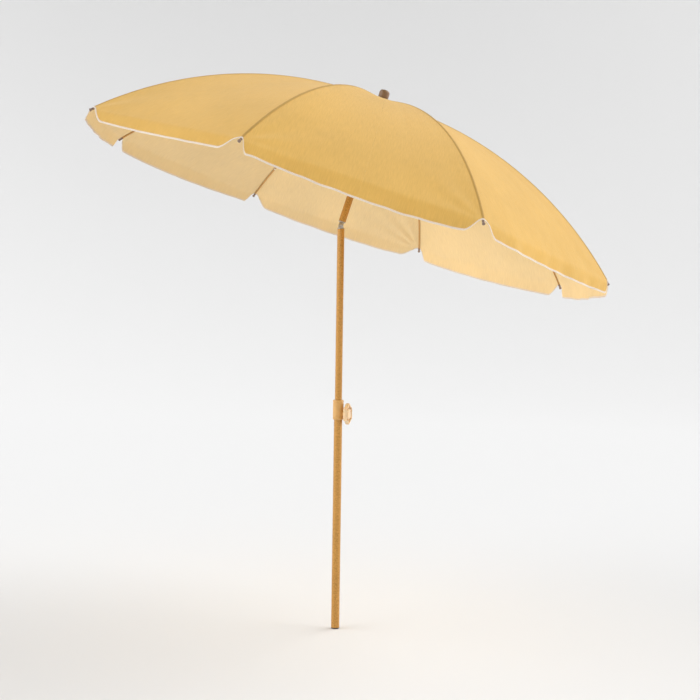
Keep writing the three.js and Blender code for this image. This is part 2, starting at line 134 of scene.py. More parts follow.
camera_data = bpy.data.cameras.new("camera")
camera_data.lens = 66.5
camera_data.sensor_width = 36
camera = bpy.data.objects.new("camera", camera_data)
bpy.context.scene.collection.objects.link(camera)
camera.matrix_world = (
    Matrix.Translation(look_at + back * CAMERA_DISTANCE)
    @ Matrix((right, up, back)).transposed().to_4x4()
)
bpy.context.scene.camera = camera
print("camera at", [round(x, 3) for x in camera.matrix_world.translation])

# %% [markdown]
# Nearly every piece here is a grid of points: rows of them, joined by quads. The same few lines
# then make a turned knob, a bent rod or a sheet of cloth. Only edges sharper than 35 degrees are
# marked sharp, so that round things look round and corners stay crisp.

# %% Pieces from grids of points
SHARP = math.radians(35)


def new_piece(name, points, faces, place=Matrix(), sharp=SHARP):
    """A mesh object from points in a place's own axes."""
    mesh = bpy.data.meshes.new(name)
    mesh.from_pydata([tuple(p) for p in points], [], faces)
    mesh.transform(place)
    if place.to_3x3().determinant() < 0:
        mesh.flip_normals()
    mesh.validate()
    mesh.shade_smooth()
    if sharp is not None:
        mesh.set_sharp_from_angle(angle=sharp)
    piece = bpy.data.objects.new(name, mesh)
    bpy.context.scene.collection.objects.link(piece)
    return piece


def grid_faces(rows, columns, wrap_rows=False, wrap_columns=False, start=0):
    """Quads between rows x columns of points, closed round on either side if asked."""
    faces = []
    for r in range(rows if wrap_rows else rows - 1):
        for c in range(columns if wrap_columns else columns - 1):
            nr, nc = (r + 1) % rows, (c + 1) % columns
            faces.append(tuple(start + i for i in (
                r * columns + c, r * columns + nc, nr * columns + nc, nr * columns + c)))
    return faces


def tidy_normals(piece):
    """Turns every face of a closed piece outwards."""
    shape = bmesh.new()
    shape.from_mesh(piece.data)
    bmesh.ops.recalc_face_normals(shape, faces=shape.faces)
    shape.to_mesh(piece.data)
    shape.free()


print("grids ready, edges sharp above", round(math.degrees(SHARP)), "degrees")

# %% [markdown]
# Most parts of an umbrella are turned, drawn or pressed. A lathe turns a profile about an axis,
# which suits tubes and mouldings. A rod sweeps an outline along a path. A plate is a flat outline
# given a thickness. Each could be a primitive with modifiers, but a profile keeps every radius
# and groove in one list that reads from bottom to top.

# %% Lathe, rod and plate
def lathe(name, profile, place=Matrix(), steps=48):
    """Turns (radius, height) points about Z. A profile runs from axis to axis, or closes."""
    hollow = profile[0][0] > 0
    inner = profile if hollow else profile[1:-1]
    points = [
        (r * math.cos(a), r * math.sin(a), z)
        for a in (math.tau * k / steps for k in range(steps)) for r, z in inner
    ]
    faces = grid_faces(steps, len(inner), wrap_rows=True, wrap_columns=hollow)
    faces = [face[::-1] for face in faces]
    if not hollow:
        for end, corner in ((profile[0], 0), (profile[-1], len(inner) - 1)):
            rim = [k * len(inner) + corner for k in range(steps)]
            points.append((0, 0, end[1]))
            tip = len(points) - 1
            for k in range(steps):
                fan = (tip, rim[k], rim[(k + 1) % steps])
                faces.append(fan[::-1] if corner == 0 else fan)
    piece = new_piece(name, points, faces, place)
    tidy_normals(piece)
    return piece


def rod(name, path, outline, place=Matrix()):
    """Sweeps a closed outline (across, above) along points (x, z) of a place's XZ plane."""
    path = np.array(path, float)
    along = np.gradient(path, axis=0)
    along /= np.linalg.norm(along, axis=1)[:, None]
    points = []
    for (x, z), (ax, az) in zip(path, along):
        points += [(x - az * above, across, z + ax * above) for across, above in outline]
    count = len(outline)
    faces = grid_faces(len(path), count, wrap_columns=True)
    last = (len(path) - 1) * count
    faces += [tuple(range(count))[::-1], tuple(last + k for k in range(count))]
    piece = new_piece(name, points, faces, place)
    tidy_normals(piece)
    return piece


def circle(radius, sides):
    return [(radius * math.cos(a), radius * math.sin(a))
            for a in (math.tau * k / sides for k in range(sides))]


def plate(name, outline, thick, place=Matrix(), bevel=0.0004):
    """A flat shape in XZ, as thick as asked along Y, with its edges broken."""
    count = len(outline)
    points = [(x, side * thick / 2, z) for side in (-1, 1) for x, z in outline]
    faces = [tuple(range(count)), tuple(range(2 * count - 1, count - 1, -1))]
    faces += [(k, (k + 1) % count, (k + 1) % count + count, k + count) for k in range(count)]
    piece = new_piece(name, points, faces, place)
    tidy_normals(piece)
    soften(piece, bevel)
    return piece


print("a 16-sided outline starts at", circle(1, 16)[0])

# %% [markdown]
# Real edges are never perfectly sharp, so a bevel breaks them, and holes are cut with a boolean,
# just as a drill would. Modifiers are applied at once, which leaves a plain mesh that can be
# joined to others. The last helper gives a piece its material and its body together.

# %% Soften, cut, join and finish
def apply_modifiers(piece):
    """Replaces a piece's mesh by what its modifiers make of it."""
    bpy.context.view_layer.update()
    done = piece.evaluated_get(bpy.context.evaluated_depsgraph_get())
    mesh = bpy.data.meshes.new_from_object(done)
    piece.modifiers.clear()
    piece.data = mesh


def soften(piece, width):
    """Breaks the edges of a piece."""
    bevel = piece.modifiers.new("broken edges", "BEVEL")
    bevel.width = width
    bevel.segments = 2
    bevel.limit_method = "ANGLE"
    bevel.harden_normals = True
    apply_modifiers(piece)


def cut(piece, *cutters):
    """Takes the cutters' shapes out of a piece, then throws the cutters away."""
    for cutter in cutters:
        boolean = piece.modifiers.new("cut", "BOOLEAN")
        boolean.operation = "DIFFERENCE"
        boolean.object = cutter
        boolean.solver = "EXACT"
    apply_modifiers(piece)
    piece.data.set_sharp_from_angle(angle=SHARP)
    for cutter in cutters:
        bpy.data.objects.remove(cutter)


def join(pieces, name):
    """One piece from several that are fixed to each other, its sharp edges marked again."""
    shape = bmesh.new()
    for piece in pieces:
        shape.from_mesh(piece.data)
    mesh = bpy.data.meshes.new(name)
    shape.to_mesh(mesh)
    shape.free()
    for piece in pieces:
        bpy.data.objects.remove(piece)
    mesh.set_sharp_from_angle(angle=SHARP)
    whole = bpy.data.objects.new(name, mesh)
    bpy.context.scene.collection.objects.link(whole)
    return whole


def finish_piece(piece, material, body, slot, *nodes):
    """Gives a piece its material, the body that it rides on and what it stands for; the slot is not
    used.
    """
    piece.data.materials.clear()
    piece.data.materials.append(material)
    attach(piece, body)
    if nodes:
        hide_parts(*nodes)
    return piece


def paint_part(name, material):
    """Gives a CAD part that keeps its own shape a finish."""
    part = frame["nodes"][name]
    part.data.materials.clear()
    part.data.materials.append(material)


print("the frame holds", len(frame["nodes"]), "parts to dress")

# %% [markdown]
# Each finish is a small tree of nodes round one Principled shader. Noise breaks up the colour
# and the gloss a little, because no real surface is perfectly even, and a bump gives the grain.
# Values that are the same all over are set straight on the shader.

# %% Material helpers
def srgb(red, green, blue):
    """A colour as painters' codes give it, 0 to 255, in the linear values that shaders use."""
    def linear(value):
        value /= 255
        return value / 12.92 if value <= 0.04045 else ((value + 0.055) / 1.055) ** 2.4
    return (linear(red), linear(green), linear(blue), 1.0)


def node(tree, kind, **values):
    """A new node; names that match a socket set it, and the others are the node's settings."""
    made = tree.nodes.new(kind)
    for key, value in values.items():
        label = key.replace("_", " ").title()
        if hasattr(made, key):
            setattr(made, key, value)
        else:
            made.inputs[label].default_value = value
    return made


def surface(name, colour, roughness, **sockets):
    """A new material, its tree and its Principled shader, with plain values set on the sockets."""
    material = bpy.data.materials.new(name)
    material.use_nodes = True
    tree = material.node_tree
    shader = tree.nodes["Principled BSDF"]
    shader.inputs["Base Color"].default_value = colour
    shader.inputs["Roughness"].default_value = roughness
    for key, value in sockets.items():
        shader.inputs[key.replace("_", " ")].default_value = value
    return material, tree, shader


def place_of(tree, stretch=(1, 1, 1)):
    """Object coordinates in metres, stretched so that a pattern can run one way."""
    coordinates = node(tree, "ShaderNodeTexCoord")
    mapping = node(tree, "ShaderNodeMapping")
    mapping.inputs["Scale"].default_value = stretch
    tree.links.new(coordinates.outputs["Object"], mapping.inputs["Vector"])
    return mapping.outputs["Vector"]


def noise(tree, scale, detail=3.0, stretch=(1, 1, 1)):
    made = node(tree, "ShaderNodeTexNoise", scale=scale, detail=detail)
    tree.links.new(place_of(tree, stretch), made.inputs["Vector"])
    return made.outputs["Fac"]


def ramp(tree, source, stops):
    """A colour ramp from (place, colour) stops, read at a source's value."""
    made = node(tree, "ShaderNodeValToRGB")
    elements = made.color_ramp.elements
    for element, (place, colour) in zip(elements, (stops[0], stops[-1])):
        element.position, element.color = place, colour
    for place, colour in stops[1:-1]:
        elements.new(place).color = colour
    tree.links.new(source, made.inputs["Fac"])
    return made.outputs["Color"]


def shade(colour, factor):
    return tuple(min(1.0, c * factor) for c in colour[:3]) + (1.0,)


def grey(value):
    return (value, value, value, 1.0)


def add_bump(tree, shader, source, distance, strength=1.0):
    bump = node(tree, "ShaderNodeBump", distance=distance, strength=strength)
    tree.links.new(source, bump.inputs["Height"])
    tree.links.new(bump.outputs["Normal"], shader.inputs["Normal"])


def worn_surface(name, colour, gloss, patch, grain, depth, stretch=(1, 1, 1), **sockets):
    """A finish whose colour varies in patches, and whose gloss and height in a finer grain."""
    material, tree, shader = surface(name, colour, gloss, **sockets)
    patches = noise(tree, patch, 4.0)
    tone = ramp(tree, patches, [(0.3, shade(colour, 0.9)), (0.7, shade(colour, 1.08))])
    tree.links.new(tone, shader.inputs["Base Color"])
    fine = noise(tree, grain, 2.0, stretch)
    rough = ramp(tree, fine, [(0.3, grey(gloss * 0.8)), (0.75, grey(min(1, gloss * 1.3)))])
    tree.links.new(rough, shader.inputs["Roughness"])
    add_bump(tree, shader, fine, depth)
    return material


print("white in linear values:", srgb(255, 255, 255))

# %% [markdown]
# The hard finishes: the tubes are powder-coated in a golden brown, a thin coat with the faint
# skin of an orange. The knuckle and springs are zinc-plated steel with drawing marks along them.
# The moulded parts have a fine spark-eroded grain and only a soft gloss.

# %% Hard finishes
pole_paint = worn_surface(
    "pole_paint", srgb(190, 138, 63), 0.28, 9.0, 700.0, 0.00004, stretch=(1, 1, 0.35),
    Metallic=0.5, Coat_Weight=0.35, Coat_Roughness=0.18)
rib_paint = worn_surface(
    "rib_paint", srgb(200, 154, 92), 0.42, 14.0, 900.0, 0.00004, Metallic=0.3, Coat_Weight=0.1)
gold_plastic = worn_surface(
    "gold_plastic", srgb(206, 158, 88), 0.34, 30.0, 1400.0, 0.00003, Coat_Weight=0.2)
knob_plastic = worn_surface(
    "knob_plastic", srgb(230, 198, 154), 0.26, 40.0, 1400.0, 0.00003, Coat_Weight=0.4,
    Subsurface_Weight=0.08, Subsurface_Scale=0.004)
bare_metal = worn_surface(
    "bare_metal", srgb(178, 171, 163), 0.3, 60.0, 900.0, 0.00003, stretch=(1, 1, 0.08),
    Metallic=0.95)
spring_steel = worn_surface(
    "spring_steel", srgb(150, 146, 140), 0.3, 80.0, 1200.0, 0.00002, Metallic=0.95)
dark_plastic = worn_surface(
    "dark_plastic", srgb(74, 64, 56), 0.5, 30.0, 1600.0, 0.00004)
tip_plastic = worn_surface(
    "tip_plastic", srgb(134, 112, 96), 0.42, 60.0, 1600.0, 0.00003)
brown_plastic = worn_surface(
    "brown_plastic", srgb(122, 88, 46), 0.36, 40.0, 1400.0, 0.00003, Coat_Weight=0.25)
print("hard finishes:", [m.name for m in bpy.data.materials])

# %% [markdown]
# The cloth is a plain-woven polyester. Two wave textures at right angles make the warp and the
# weft, read from a map in metres, so a thread has its true width on every gore. Some light goes
# through: a Translucent shader is mixed in. The outside is dyed deep yellow. The inside is given
# a pale cream, a painted glow for the sun shining through the cloth, so each side of the sheet
# has a material of its own.

# %% Cloth finishes
THREAD = 0.0009
WAVES_PER_METRE = math.tau / 20          # a wave texture of scale 1 repeats every 0.314 m
WEAVE_DEPTH = 0.00025
DOUBLED = 0.8                            # how much darker the cloth is where a seam doubles it


def woven(name, colour, glow, through, sheen):
    """A woven cloth: its colour by reflected light, its glow by light coming through it."""
    material, tree, shader = surface(
        name, colour, 0.78, Sheen_Weight=sheen, Sheen_Roughness=0.5, Specular_IOR_Level=0.25)
    metres = node(tree, "ShaderNodeUVMap", uv_map="cut")
    threads = []
    for direction in ("X", "Y"):
        wave = node(tree, "ShaderNodeTexWave", bands_direction=direction,
                    scale=WAVES_PER_METRE / THREAD, distortion=0.6, detail=1.0)
        tree.links.new(metres.outputs["UV"], wave.inputs["Vector"])
        threads.append(wave.outputs["Fac"])
    weave = node(tree, "ShaderNodeMath", operation="MAXIMUM")
    tree.links.new(threads[0], weave.inputs[0])
    tree.links.new(threads[1], weave.inputs[1])
    add_bump(tree, shader, weave.outputs[0], WEAVE_DEPTH, 0.5)
    slubs = node(tree, "ShaderNodeTexNoise", scale=420.0, detail=2.0)
    stretched = node(tree, "ShaderNodeMapping")
    stretched.inputs["Scale"].default_value = (1.0, 0.06, 1.0)
    tree.links.new(metres.outputs["UV"], stretched.inputs["Vector"])
    tree.links.new(stretched.outputs["Vector"], slubs.inputs["Vector"])
    broad = noise(tree, 3.5, 3.0)
    layers = node(tree, "ShaderNodeAttribute", attribute_name="layers")
    for target, dye in ((shader.inputs["Base Color"], colour), (None, glow)):
        tone = ramp(tree, broad, [(0.3, shade(dye, 0.965)), (0.7, shade(dye, 1.03))])
        thread_tone = ramp(tree, slubs.outputs["Fac"], [(0.35, grey(0.93)), (0.65, grey(1.0))])
        speckled = node(tree, "ShaderNodeMix", data_type="RGBA", blend_type="MULTIPLY")
        speckled.inputs[0].default_value = 1.0
        tree.links.new(tone, speckled.inputs[6])
        tree.links.new(thread_tone, speckled.inputs[7])
        doubled = node(tree, "ShaderNodeMix", data_type="RGBA")
        tree.links.new(layers.outputs["Fac"], doubled.inputs[0])
        tree.links.new(speckled.outputs[2], doubled.inputs[6])
        doubled.inputs[7].default_value = shade(dye, DOUBLED)
        if target is None:
            translucent = node(tree, "ShaderNodeBsdfTranslucent")
            target = translucent.inputs["Color"]
        tree.links.new(doubled.outputs[2], target)
    mixed = node(tree, "ShaderNodeMixShader")
    mixed.inputs[0].default_value = through
    tree.links.new(shader.outputs[0], mixed.inputs[1])
    tree.links.new(translucent.outputs[0], mixed.inputs[2])
    tree.links.new(mixed.outputs[0], tree.nodes["Material Output"].inputs["Surface"])
    return material


cloth_outside = woven("cloth_outside", srgb(226, 180, 89), srgb(250, 231, 180), 0.44, 0.25)
# The inside's pale cream is painted light: a painted glow for the sun shining through the cloth.
cloth_inside_painted_glow = woven("cloth_inside_painted_glow", srgb(248, 234, 202), srgb(252, 238, 200), 0.55, 0.12)
binding_cloth = woven("binding_cloth", srgb(255, 244, 234), srgb(255, 248, 238), 0.3, 0.1)
thread_finish = worn_surface(
    "thread_finish", srgb(214, 168, 84), 0.6, 200.0, 3000.0, 0.00002, Sheen_Weight=0.3)
print("cloth finishes ready")

# %% [markdown]
# The umbrella stands on a pale floor that curves up into a wall far behind it, so no line shows
# where one ends. Most of the light comes from all round, as in a white tent. A broad sun from the
# right and above gives the right-hand gores their brighter tone and the pole its soft edge.

# %% The floor and the light
FLOOR_FLAT = 8.0
FLOOR_HEIGHT = -0.001
WALL_CURVE = 8.0
WALL_STEPS = 12
BOWL_STEPS = 96
bowl = [(FLOOR_FLAT, FLOOR_HEIGHT)]
for k in range(1, WALL_STEPS + 1):
    turn = k / WALL_STEPS * math.radians(80)
    bowl.append((FLOOR_FLAT + WALL_CURVE * math.sin(turn), WALL_CURVE * (1 - math.cos(turn))))
bowl_points = [(0, 0, FLOOR_HEIGHT)] + [
    (r * math.cos(a), r * math.sin(a), z)
    for a in (math.tau * k / BOWL_STEPS for k in range(BOWL_STEPS)) for r, z in bowl
]
bowl_faces = grid_faces(BOWL_STEPS, len(bowl), wrap_rows=True, start=1)
bowl_faces += [
    (0, 1 + k * len(bowl), 1 + (k + 1) % BOWL_STEPS * len(bowl)) for k in range(BOWL_STEPS)
]
floor = new_piece("studio_floor", bowl_points, bowl_faces, sharp=None)
floor_paint, _, _ = surface("studio_paint", grey(0.76), 0.9, Specular_IOR_Level=0.1)
floor.data.materials.append(floor_paint)
floor.visible_shadow = False            # the wall of the bowl must not dim the lights

world = bpy.data.worlds.new("studio_air")
world.use_nodes = True
world.node_tree.nodes["Background"].inputs["Color"].default_value = grey(1.0)
world.node_tree.nodes["Background"].inputs["Strength"].default_value = 0.56
bpy.context.scene.world = world


def soft_sun(name, energy, direction):
    """A broad light, as from a large window, that shines from a direction."""
    data = bpy.data.lights.new(name, "SUN")
    data.energy = energy
    data.angle = math.radians(75)
    light = bpy.data.objects.new(name, data)
    light.rotation_mode = "QUATERNION"
    light.rotation_quaternion = Vector(direction).to_track_quat("Z", "Y")
    bpy.context.scene.collection.objects.link(light)


soft_sun("key_light", 3.1, (0.9, 0.25, 0.38))
soft_sun("fill_light", 1.8, (-0.9, -0.15, 0.32))
bpy.context.scene.view_settings.view_transform = "Standard"
print("floor, air and two soft lights")

# %% [markdown]
# Small pieces are easiest to give in millimetres. The two turning matrices lay a lathed piece
# along X or along Y instead of standing it up.

# %% Millimetre helpers
MM = 0.001
ALONG_X = Matrix.Rotation(math.radians(90), 4, "Y")
ALONG_Y = Matrix.Rotation(math.radians(-90), 4, "X")


def mm(points):
    return [tuple(value * MM for value in point) for point in points]


def at(x, y, z):
    return Matrix.Translation(Vector((x, y, z)) * MM)


def turned(name, profile, place=Matrix(), steps=48):
    return lathe(name, mm(profile), place, steps)


def bar(name, radius, low, high, place=Matrix(), edge=0.3, steps=32):
    """A round bar with broken edges, in millimetres, along a place's Z."""
    return turned(name, [
        (0, low), (radius - edge, low), (radius, low + edge),
        (radius, high - edge), (radius - edge, high), (0, high)], place, steps)


def ring(name, inner, outer, low, high, place=Matrix(), edge=0.3, steps=32):
    return turned(name, [
        (inner, low), (outer - edge, low), (outer, low + edge),
        (outer, high - edge), (outer - edge, high), (inner, high)], place, steps)


def brick(name, size, centre, place=Matrix(), bevel=0.0):
    """A block in millimetres, with its edges broken if asked."""
    points = [
        tuple((c + s * sign / 2) * MM for c, s, sign in zip(centre, size, signs))
        for signs in itertools.product((-1, 1), repeat=3)
    ]
    faces = [(0, 1, 3, 2), (4, 6, 7, 5), (0, 4, 5, 1), (2, 3, 7, 6), (0, 2, 6, 4), (1, 5, 7, 3)]
    made = new_piece(name, points, faces, place)
    tidy_normals(made)
    if bevel:
        soften(made, bevel * MM)
    return made


def bar_cutter(radius, low, high, place):
    return bar("cutter", radius, low, high, place, edge=0.01)


def heights(node):
    """How far up the pole a CAD node of the head starts and ends, in millimetres."""
    low, high = local_box(node, head_place)
    return low[2] / MM, high[2] / MM


print("the head's pole runs from", [round(v, 1) for v in heights("top_pole")])

# %% [markdown]
# The pole is two steel tubes, one inside the other. Welded tube is drawn to size, cut, drilled
# for the button and the screw, and powder-coated before the plugs go in, so the cut ends show a
# thin wall with a slightly rounded lip. A plain cylinder would hide that wall, so the profile
# here is a closed loop that goes up the outside and back down the inside.

# %% Foot and tubes
WALL = 1.2
lower_low, lower_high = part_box("lower_pole")
upper_low, upper_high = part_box("upper_pole")
lower_radius = (lower_high.x - lower_low.x) / 2 / MM
upper_radius = (upper_high.x - upper_low.x) / 2 / MM


def tube(name, radius, low, high, place=Matrix()):
    """A tube in millimetres with a slightly rounded lip at both ends."""
    lip = 0.35
    inner = radius - WALL
    return turned(name, [
        (inner, low + lip), (inner + lip, low), (radius - lip, low), (radius, low + lip),
        (radius, high - lip), (radius - lip, high), (inner + lip, high), (inner, high - lip)],
        place, 64)


foot_bore = lower_radius - WALL - 0.3
foot = turned("foot_cap", [
    (0, 0.6), (lower_radius - 4, 0), (lower_radius - 1.2, 0), (lower_radius, 1.2),
    (lower_radius, 2.6), (lower_radius - 0.4, 3.0), (foot_bore, 3.0), (foot_bore - 1, 28),
    (foot_bore - 3.5, 28), (foot_bore - 2.6, 8), (0, 8)])
finish_piece(foot, dark_plastic, "base", "dark_plastic", "foot_plug")

knob_low, knob_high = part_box("clamp_knob")
knob_height = (knob_low.z + knob_high.z) / 2
knob_axis = Vector(joints["pad_slide"]["axis"])
knob_place = (
    Matrix.Translation((0, 0, knob_height))
    @ Matrix.Rotation(math.atan2(knob_axis.y, knob_axis.x), 4, "Z") @ ALONG_X
)
SCREW_HOLE = 4.3
lower_tube = tube("lower_tube", lower_radius, lower_low.z / MM, lower_high.z / MM)
cut(lower_tube, bar_cutter(SCREW_HOLE, 5, 20, knob_place))
finish_piece(lower_tube, pole_paint, "base", "pole_paint", "lower_pole")

BUTTON_HOLE = 3.9
BUTTON_BELOW_PIN = 30
button_height = pivot.z / MM - BUTTON_BELOW_PIN
button_place = at(0, 0, button_height) @ ALONG_Y
upper_tube = tube("upper_tube", upper_radius, upper_low.z / MM, upper_high.z / MM)
cut(upper_tube, bar_cutter(BUTTON_HOLE, 6, 18, button_place))
finish_piece(upper_tube, pole_paint, "mast", "pole_paint", "upper_pole")

top_tube = tube("top_tube", upper_radius, *heights("top_pole"), head_place)
slot_middle = sum(heights("runner_catch")) / 2
cut(top_tube, brick("cutter", (3.4, 12, 29), (0, 12, slot_middle), head_place))
finish_piece(top_tube, pole_paint, "head", "pole_paint", "top_pole")
print("tubes:", lower_radius, upper_radius, "mm in radius")

# %% [markdown]
# The height clamp is a moulded collar pushed over the lower tube. A boss on its side holds the
# nut for the screw. Mouldings have rounded lips, and shallow grooves where the wall steps in. The
# grooves are part of the turned profile, because that is quicker and cleaner than cutting them.

# %% Clamp collar
collar_low, collar_high = (v.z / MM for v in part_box("clamp_collar"))
collar_inner = lower_radius + 0.3
collar_lip = upper_radius + 0.6
shelf = lower_high.z / MM + 0.3
collar_sleeve = turned("collar_sleeve", [
    (collar_inner, collar_low + 0.4), (collar_inner + 0.4, collar_low), (16.6, collar_low),
    (17.6, collar_low + 0.8), (18, collar_low + 2), (18, collar_low + 7),
    (17.4, collar_low + 7.6), (17.4, collar_low + 8.6), (17.9, collar_low + 9.2),
    (17.9, collar_high - 9.2), (17.4, collar_high - 8.6), (17.4, collar_high - 7.6),
    (18, collar_high - 7), (18, collar_high - 2), (17.5, collar_high - 0.7),
    (16.4, collar_high), (collar_lip + 0.3, collar_high), (collar_lip, collar_high - 0.4),
    (collar_lip, shelf), (collar_inner, shelf)], steps=64)
cut(collar_sleeve, bar_cutter(SCREW_HOLE, 5, 24, knob_place))
boss = turned("boss", [
    (SCREW_HOLE, 15.4), (9.6, 15.4), (9.2, 18.2), (9.0, 19.5), (9.0, 23.6), (8.1, 24.5),
    (SCREW_HOLE + 0.3, 24.5), (SCREW_HOLE, 24.2)], knob_place)
collar_whole = join([collar_sleeve, boss], "clamp_collar_moulding")
finish_piece(collar_whole, gold_plastic, "base", "gold_plastic", "clamp_collar")
print("collar from", collar_low, "to", collar_high)

# %% [markdown]
# The hand knob has six lobes round its rim. Its front is dished round a low dome, and its back
# is hollow, with a web behind each lobe: thick plastic would sink as it cools. A threaded screw
# is moulded into it. The knob is one surface, given by a profile whose radius swells and shrinks
# with the lobes.

# %% Clamp knob and screw
LOBES = 6
LOBE_DEPTH = 2.5
LOBES_START, LOBES_FULL = 14, 34         # the radii between which the lobes grow
knob_profile = [
    (0, 42), (5, 41.9), (10, 41.2), (14, 40), (17, 38.6), (18.2, 37.2), (18.8, 30.4), (28.6, 30.4),
    (29.3, 37.8), (30.4, 39.3), (32, 39.8), (34, 39.2), (35.4, 37.8), (36, 35.6), (36, 31.5),
    (35.5, 29), (34.4, 27.2), (32.6, 26.5), (31.2, 26.7), (30.6, 27.6), (30, 28.6), (12, 28.6),
    (11.2, 27.6), (10.4, 26.5), (4.1, 26.5), (4.1, 27.5), (0, 27.5)]
KNOB_STEPS = 96
knob_points = []
for k in range(KNOB_STEPS):
    angle = math.tau * k / KNOB_STEPS
    for r, z in knob_profile[1:-1]:
        grown = min(1, max(0, (r - LOBES_START) / (LOBES_FULL - LOBES_START))) ** 1.3
        r -= LOBE_DEPTH * (1 - math.cos(LOBES * angle)) * grown
        knob_points.append((r * MM * math.cos(angle), r * MM * math.sin(angle), z * MM))
inner_count = len(knob_profile) - 2
knob_faces = grid_faces(KNOB_STEPS, inner_count, wrap_rows=True)
for end, corner in ((knob_profile[0], 0), (knob_profile[-1], inner_count - 1)):
    knob_points.append((0, 0, end[1] * MM))
    for k in range(KNOB_STEPS):
        rim = (k * inner_count + corner, (k + 1) % KNOB_STEPS * inner_count + corner)
        knob_faces.append((len(knob_points) - 1, *rim))
knob_shell = new_piece("knob_shell", knob_points, knob_faces, knob_place)
tidy_normals(knob_shell)
webs = [
    brick(f"web_{k}", (13, 4, 7.4), (23.6, 0, 33.6), knob_place @ Matrix.Rotation(
        math.tau * k / LOBES, 4, "Z"))
    for k in range(LOBES)
]


def threaded(name, radius, pitch, low, high, place):
    """A screw thread: the radius rises and falls with the height and the turn together."""
    steps = 32
    depth = 0.55
    rows = int((high - low) / pitch * 5) + 1
    points = []
    for row in range(rows):
        z = low + (high - low) * row / (rows - 1)
        for k in range(steps):
            phase = (z / pitch - k / steps) % 1
            r = radius - depth * abs(2 * phase - 1)
            angle = math.tau * k / steps
            points.append((r * MM * math.cos(angle), r * MM * math.sin(angle), z * MM))
    faces = grid_faces(rows, steps, wrap_columns=True)
    last = (rows - 1) * steps
    faces += [tuple(range(steps))[::-1], tuple(last + k for k in range(steps))]
    made = new_piece(name, points, faces, place, sharp=None)
    tidy_normals(made)
    return made


knob_whole = join([knob_shell, *webs], "knob_moulding")
finish_piece(knob_whole, knob_plastic, "knob", "knob_plastic", "clamp_knob")
screw = threaded("knob_screw", 3.8, 1.25, 14.3, 30, knob_place)
finish_piece(screw, bare_metal, "knob", "bare_metal")
paint_part("pressure_pad", dark_plastic)
print("knob at height", round(knob_height, 4))

# %% [markdown]
# The tilt knuckle lets the canopy lean. A fork is pushed into the lower tube and a tongue into
# the upper one; a riveted pin joins them. Both are plated steel. Each is a turned plug with flat
# cheeks that end in a half circle about the pin, so the knuckle clears itself as it leans.

# %% Fork and tongue
EAR = 8.0
half_turn = [math.pi * k / 20 for k in range(21)]


def cheek(name, half_width, foot_height, middle, thick, place):
    """A plate that stands on a shoulder and ends in a half circle about the pin, with its hole."""
    outline = [(half_width * math.cos(a) * MM, half_width * math.sin(a) * MM) for a in half_turn]
    outline += [(-half_width * MM, foot_height * MM), (half_width * MM, foot_height * MM)]
    made = plate(name, outline, thick * MM, place @ at(0, middle, 0), 0.0005)
    cut(made, bar_cutter(3.2, -15, 15, place @ ALONG_Y))
    return made


mast_place = Matrix.Translation(pivot)
plug_radius = upper_radius - WALL - 0.3
fork = [
    turned("fork_plug", [
        (0, -52), (plug_radius - 1, -52), (plug_radius, -51), (plug_radius, -12),
        (upper_radius - 0.3, -12), (upper_radius, -11.7), (upper_radius, -9.8),
        (upper_radius - 0.8, -9), (0, -9)], mast_place),
]
cut(fork[0], bar_cutter(BUTTON_HOLE, -7, 20, button_place))
for side in (-1, 1):
    fork.append(cheek("ear", EAR, -10, side * 6.3, 3.8, mast_place))
fork_whole = join(fork, "fork_casting")
finish_piece(fork_whole, bare_metal, "mast", "bare_metal", "tilt_fork")

flip = head_place @ Matrix.Rotation(math.pi, 4, "X")
tongue_whole = join([
    turned("tongue_plug", [
        (0, 10), (upper_radius - 0.8, 10), (upper_radius, 10.8), (upper_radius, 12.7),
        (upper_radius - 0.3, 13), (plug_radius, 13), (plug_radius, 52), (plug_radius - 1, 53),
        (0, 53)], head_place),
    cheek("tongue_cheek", EAR - 0.5, -11, 0, 7.8, flip),
], "tongue_casting")
finish_piece(tongue_whole, bare_metal, "head", "bare_metal", "tilt_tongue")
print("knuckle at", [round(x, 3) for x in pivot])

# %% [markdown]
# A button sticks out through a window in the tube and a coil spring behind it pushes it there;
# pressing it frees the tongue. The spring is a real coil, swept round a helix.

# %% Rivet, button and spring
rivet = turned("tilt_rivet", [
    (0, -10.4), (1.6, -10.3), (3.2, -9.9), (4.3, -9.2), (4.6, -8.5), (2.9, -8.5), (2.9, 8.5),
    (4.6, 8.5), (4.3, 9.2), (3.2, 9.9), (1.6, 10.3), (0, 10.4)], head_place @ ALONG_Y)
finish_piece(rivet, bare_metal, "head", "bare_metal", "tilt_pin")
button = turned("button_cap", [
    (0, 4), (3.1, 4), (3.4, 4.3), (3.4, 12.6), (3.1, 13.4), (2.3, 14), (1.2, 14.2), (0, 14.2)],
    button_place)
finish_piece(button, bare_metal, "button", "bare_metal", "tilt_button")

COILS, COIL_STEPS, WIRE_SIDES = 4, 20, 8
COIL_RADIUS, COIL_WIRE = 2.4, 0.35
COIL_START, COIL_LENGTH = -5.35, 8.7
coil_points = []
for k in range(COILS * COIL_STEPS + 1):
    turn = math.tau * k / COIL_STEPS
    out = Vector((math.cos(turn), 0, math.sin(turn)))
    centre = Vector((0, COIL_START + COIL_LENGTH * k / (COILS * COIL_STEPS), button_height))
    coil_points += [
        (centre + out * (COIL_RADIUS + across) + Vector((0, along, 0))) * MM
        for across, along in circle(COIL_WIRE, WIRE_SIDES)
    ]
coil_faces = grid_faces(COILS * COIL_STEPS + 1, WIRE_SIDES, wrap_columns=True)
last = len(coil_points) - WIRE_SIDES
coil_faces += [tuple(range(WIRE_SIDES))[::-1], tuple(last + i for i in range(WIRE_SIDES))]
coil = new_piece("button_spring", coil_points, coil_faces)
tidy_normals(coil)
finish_piece(coil, spring_steel, "mast", "spring_steel", "tilt_spring")
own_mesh(coil)
paint_part("runner_catch", spring_steel)
